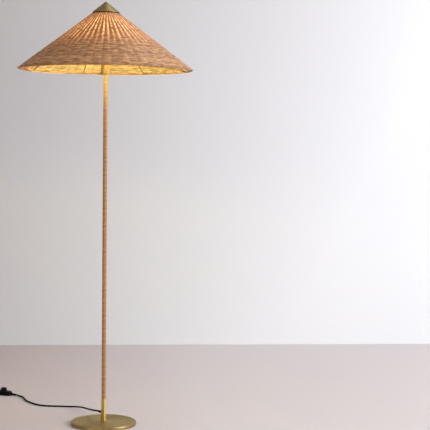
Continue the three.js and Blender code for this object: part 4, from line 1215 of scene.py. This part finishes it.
class FLOORLAMP_OT_switch(Operator):
    """Mould the foot switch"""

    bl_idname = "floor_lamp.switch"
    bl_label = "Foot switch"

    def execute(self, context):
        part, top = SWITCH_PARTING, (0, 0, SWITCH_HEIGHT)
        hull = [(0.92, 0.0001), (0.94, 0.0002), (0.975, 0.0008), (0.995, 0.0018), (1, 0.0032), (1, part - 0.0004),
                (0.993, part)]
        tray = drawn_up("switch_base_shell", switch_rings(hull), 30)
        dome = [(0.993, 0.0003), (1, 0.0007), (0.998, 0.0022), (0.985, 0.0044), (0.962, 0.0064), (0.93, 0.0080),
                (0.885, 0.0094), (0.83, 0.0103), (0.76, 0.01085), (0.66, 0.0110)]
        cover = drawn_up("switch_top_shell", switch_rings(dome, part), 30)
        cut_with(cover, cylinder("well", WELL_RADIUS, 2 * WELL_DEPTH, top, 64), 30)
        collar = turned("button_collar", [(WELL_RADIUS, -0.001), (0.0140, -0.001), (0.0140, 0.0006),
                        *arc(0.0134, 0.0006, 0.0006, 0, 90, 4), *arc(0.0121, 0.0007, 0.0005, 90, 180, 4)], 64)
        pick(cover, placed(collar, top))
        bpy.ops.object.join()
        smooth(cover, 30)
        wide, high, low, edge = BUTTON_RADIUS, BUTTON_TOP, SWITCH_HEIGHT - 0.0035, 0.0016
        button = turned("foot_button", [(0, low), (wide, low), (wide, high - edge),
                        *arc(wide - edge, high - edge, edge, 0, 90, 6), (wide - 0.0026, high - 0.00005),
                        (wide * 0.55, high - 0.0007), (0, high - 0.0009)], 64, 30)
        for piece, body, node in ((tray, "stand", "switch_tray"), (cover, "stand", "switch_cover"),
                                  (button, "foot_button", "switch_button")):
            placed(piece, SWITCH_PLACE, SWITCH_TURN)
            dressed(piece, "black_plastic", "black_plastic", body, node)
        for side, name, node in ((1, "gland_towards_stem", "switch_gland_in"),
                                 (-1, "gland_towards_plug", "switch_gland_out")):
            gland = tapered(name, RELIEF_ROOT, RELIEF_TIP, GLAND_LENGTH, 0.0052, 0.002)
            turn = SWITCH_TURN if side > 0 else SWITCH_TURN + math.pi
            point_along(gland, past_gland(side, -GLAND_LENGTH), turn)
            dressed(gland, "black_rubber", "black_rubber", "stand", node)
        softened("switch_block", "contact_block", "phenolic", "phenolic", 0.0006)
        for i in (1, 2):
            softened(f"switch_screw_{i}", f"tray_screw_{i}", "zinc_steel", "steel", 0.0002)
        low, high = bottom_of("switch_spring") + SPRING_WIRE / 2, top_of("switch_spring") - SPRING_WIRE / 2
        steps = SPRING_CURLS * COIL_STEPS
        curls = []
        for i in range(steps + 1):
            rise = Vector((0, 0, low + (high - low) * i / steps))
            curls.append(SWITCH_PLACE + heading(math.tau * i / COIL_STEPS) * SPRING_REACH + rise)
        dressed(wire("button_spring", curls, SPRING_WIRE), "zinc_steel", "steel", "stand", "switch_spring")
        return {"FINISHED"}


class FLOORLAMP_OT_plug(Operator):
    """Mould the plug and its sleeve, and dress the tie of the coil"""

    bl_idname = "floor_lamp.plug"
    bl_label = "Plug"

    def execute(self, context):
        _, centre, _, way = coil_places()
        turn = math.atan2(way.y, way.x)
        place = run_route()[-1] + way * (BOOT_LENGTH + 2 * SEAT_GAP)
        stations = [(0, 0.44, 0.74), (0.012, 0.47, 0.80), (0.08, 0.56, 0.88), (0.18, 0.72, 0.93), (0.36, 0.86, 0.96),
                    (0.58, 0.965, 0.98), (0.78, 0.99, 0.99), (0.94, 1, 1), (0.985, 0.985, 0.97), (1, 0.95, 0.92)]
        rings = []
        for along, wide, thick in stations:
            points = oval(PLUG_WIDTH / 2 * wide, PLUG_THICKNESS / 2 * thick, 3, 48)
            rings.append([(PLUG_LENGTH * along, y, z) for y, z in points])
        shell = placed(drawn_up("plug_shell", rings, 30), place, turn)
        dressed(shell, "black_plastic", "black_plastic", "stand", "plug_body")
        sleeve = tapered("plug_sleeve", 0.0050, RELIEF_TIP, BOOT_LENGTH, 0.0052, 0.002)
        point_along(sleeve, place - way * SEAT_GAP, turn + math.pi)
        dressed(sleeve, "black_rubber", "black_rubber", "stand", "plug_boot")
        tip = 0.0012
        pin = [(0, 0), (PIN_RADIUS, 0), *arc(PIN_RADIUS - tip, PIN_LENGTH - tip, tip, 0, 90, 5), (0, PIN_LENGTH)]
        across = heading(turn - math.pi / 2) * PIN_SPACING / 2
        for name, node, side in (("plug_pin_right", "plug_pin_1", across), ("plug_pin_left", "plug_pin_2", -across)):
            piece = point_along(turned(name, pin, 24), place + way * (PLUG_LENGTH + SEAT_GAP) + side, turn)
            dressed(piece, "nickel_plate", "nickel", "stand", node)
        self.tie(centre)
        return {"FINISHED"}

    def tie(self, centre):
        inner, outer = COIL_INNER - CORD_DIAMETER / 2 - TIE_SLACK, COIL_OUTER + CORD_DIAMETER / 2 + TIE_SLACK
        wide, tall = (outer - inner) / 2, (CORD_DIAMETER + COIL_PITCH) / 2 + SEAT_GAP
        edge, half = TIE_THICKNESS / 3, TIE_WIDTH / 2
        side = [(TIE_THICKNESS, half - edge), (TIE_THICKNESS - edge, half), (edge, half), (0, half - edge)]
        section = [*side, *[(out, -y) for out, y in reversed(side)]]
        middle, rings = (inner + outer) / 2, []
        for out, y in (*section, section[0]):
            loop = oval(wide + out, tall + out, 7, 60)
            rings.append([(middle + x, y, TIE_THICKNESS + tall + z) for x, z in loop])
        band = placed(drawn_up("tie_band", rings, 40, "NOTHING"), (centre.x, centre.y, 0), TIE_TURN)
        dressed(band, "tie_strap", "black_fabric", "stand", "coil_tie")


# Stage


def plain_surface(name, size, place, tilt, left, right, low, high):
    """A matt plane, shown from its front only, so that it never hides the lamp; painted darker to the left and
    upwards.
    """
    clear_selection()
    bpy.ops.mesh.primitive_plane_add(size=1, location=place, rotation=(tilt, 0, 0))
    plane = named(name)
    plane.scale = (*size, 1)
    tree, shader = new_material(f"pale_{name}", Roughness=0.85, Specular_IOR_Level=0.2)
    x, _, z = apart(tree, object_place(tree))
    # painted light: darker to the left and higher up, for the fall-off of the window light
    across = maths(tree, "SUBTRACT", x, times(tree, z, 0.5))
    tree.links.new(mixed(tree, ranged(tree, across, low, high), rgba(left), rgba(right)), shader.inputs["Base Color"])
    clear = tree.nodes.new("ShaderNodeBsdfTransparent")
    back = tree.nodes.new("ShaderNodeNewGeometry").outputs["Backfacing"]
    either = add_node(tree, "ShaderNodeMixShader", {0: back, 1: shader.outputs[0], 2: clear.outputs[0]})
    tree.links.new(either.outputs[0], tree.nodes["Material Output"].inputs[0])
    return give(apply_place(plane), MATERIALS[f"pale_{name}"])


def soft_lamp(name, place, aim, size, power, colour):
    data = bpy.data.lights.new(name, "AREA")
    data.shape = "RECTANGLE"
    data.size, data.size_y = size
    data.energy = power
    data.color = colour
    lamp = linked(name, data)
    lamp.location = place
    lamp.rotation_euler = (Vector(aim) - Vector(place)).to_track_quat("-Z", "Y").to_euler()
    return lamp


class FLOORLAMP_OT_stage(Operator):
    """Set the pale floor, the wall and the soft light"""

    bl_idname = "floor_lamp.stage"
    bl_label = "Stage"

    def execute(self, context):
        floor = plain_surface("floor", (14, 8), (0, -2.2, -0.0002), 0, (0.53, 0.435, 0.415), (0.72, 0.655, 0.665),
                              -0.9, 0.4)
        wall = plain_surface("wall", (14, 5), (0, 1.8, 2.5), math.pi / 2, (0.54, 0.52, 0.525), (0.86, 0.865, 0.90),
                             -1.5, 0.9)
        middle, holder = (0, 0, 0.9), (0, 0, 1.4)
        soft_lamp("window_light", (4.62, -1.87, 2.4), middle, (2.4, 3.2), 228, (0.95, 0.985, 1.0))
        soft_lamp("fill_light", (-3.0, -2.6, 2.0), middle, (2.2, 2.2), 24, (1.0, 0.95, 0.89))
        # the front light only fills, so it draws no stripe on the brass sleeve
        front_light = soft_lamp("front_light", (0.9, -5.0, 1.5), middle, (2.4, 1.2), 31, (1.0, 0.96, 0.91))
        front_light.visible_glossy = False
        soft_lamp("ceiling_light", (0.5, 0.8, 3.3), holder, (0.9, 0.5), 2.6, (1.0, 0.98, 0.95))
        world = bpy.data.worlds.new("soft_room")
        world.use_nodes = True
        tree = world.node_tree
        side = apart(tree, add_node(tree, "ShaderNodeTexCoord").outputs["Generated"])[0]
        sky = mixed(tree, ranged(tree, side, -1.0, 1.0), (0.27, 0.25, 0.235, 1), (0.76, 0.775, 0.80, 1))
        tree.links.new(sky, tree.nodes["Background"].inputs["Color"])
        tree.nodes["Background"].inputs["Strength"].default_value = 0.72
        context.scene.world = world
        context.scene.view_settings.view_transform = "Standard"
        return {"FINISHED"}


class FLOORLAMP_PT_panel(Panel):
    bl_idname = "FLOORLAMP_PT_panel"
    bl_label = "Rattan floor lamp"
    bl_space_type = "VIEW_3D"
    bl_region_type = "UI"
    bl_category = "Floor lamp"

    def draw(self, context):
        for group in (context.scene.floor_lamp_sizes, context.scene.floor_lamp_finishes):
            for key in group.__annotations__:
                self.layout.prop(group, key)
        for step in STEPS:
            self.layout.operator(step.bl_idname)


STEPS = (
    FLOORLAMP_OT_camera, FLOORLAMP_OT_lead, FLOORLAMP_OT_outlet, FLOORLAMP_OT_switch, FLOORLAMP_OT_plug,
    FLOORLAMP_OT_base, FLOORLAMP_OT_brass, FLOORLAMP_OT_winding, FLOORLAMP_OT_bulb, FLOORLAMP_OT_frame,
    FLOORLAMP_OT_weave, FLOORLAMP_OT_stakes, FLOORLAMP_OT_border, FLOORLAMP_OT_cap, FLOORLAMP_OT_stage,
)
CLASSES = (FloorLampSizes, FloorLampFinishes, *STEPS, FLOORLAMP_PT_panel)


def register():
    for each in CLASSES:
        bpy.utils.register_class(each)
    bpy.types.Scene.floor_lamp_sizes = PointerProperty(type=FloorLampSizes)
    bpy.types.Scene.floor_lamp_finishes = PointerProperty(type=FloorLampFinishes)


def unregister():
    del bpy.types.Scene.floor_lamp_finishes
    del bpy.types.Scene.floor_lamp_sizes
    for each in reversed(CLASSES):
        bpy.utils.unregister_class(each)


def main():
    register()
    for step in STEPS:
        getattr(bpy.ops.floor_lamp, step.bl_idname.split(".")[1])()
    declare_cords()


if __name__ == "__main__":
    main()
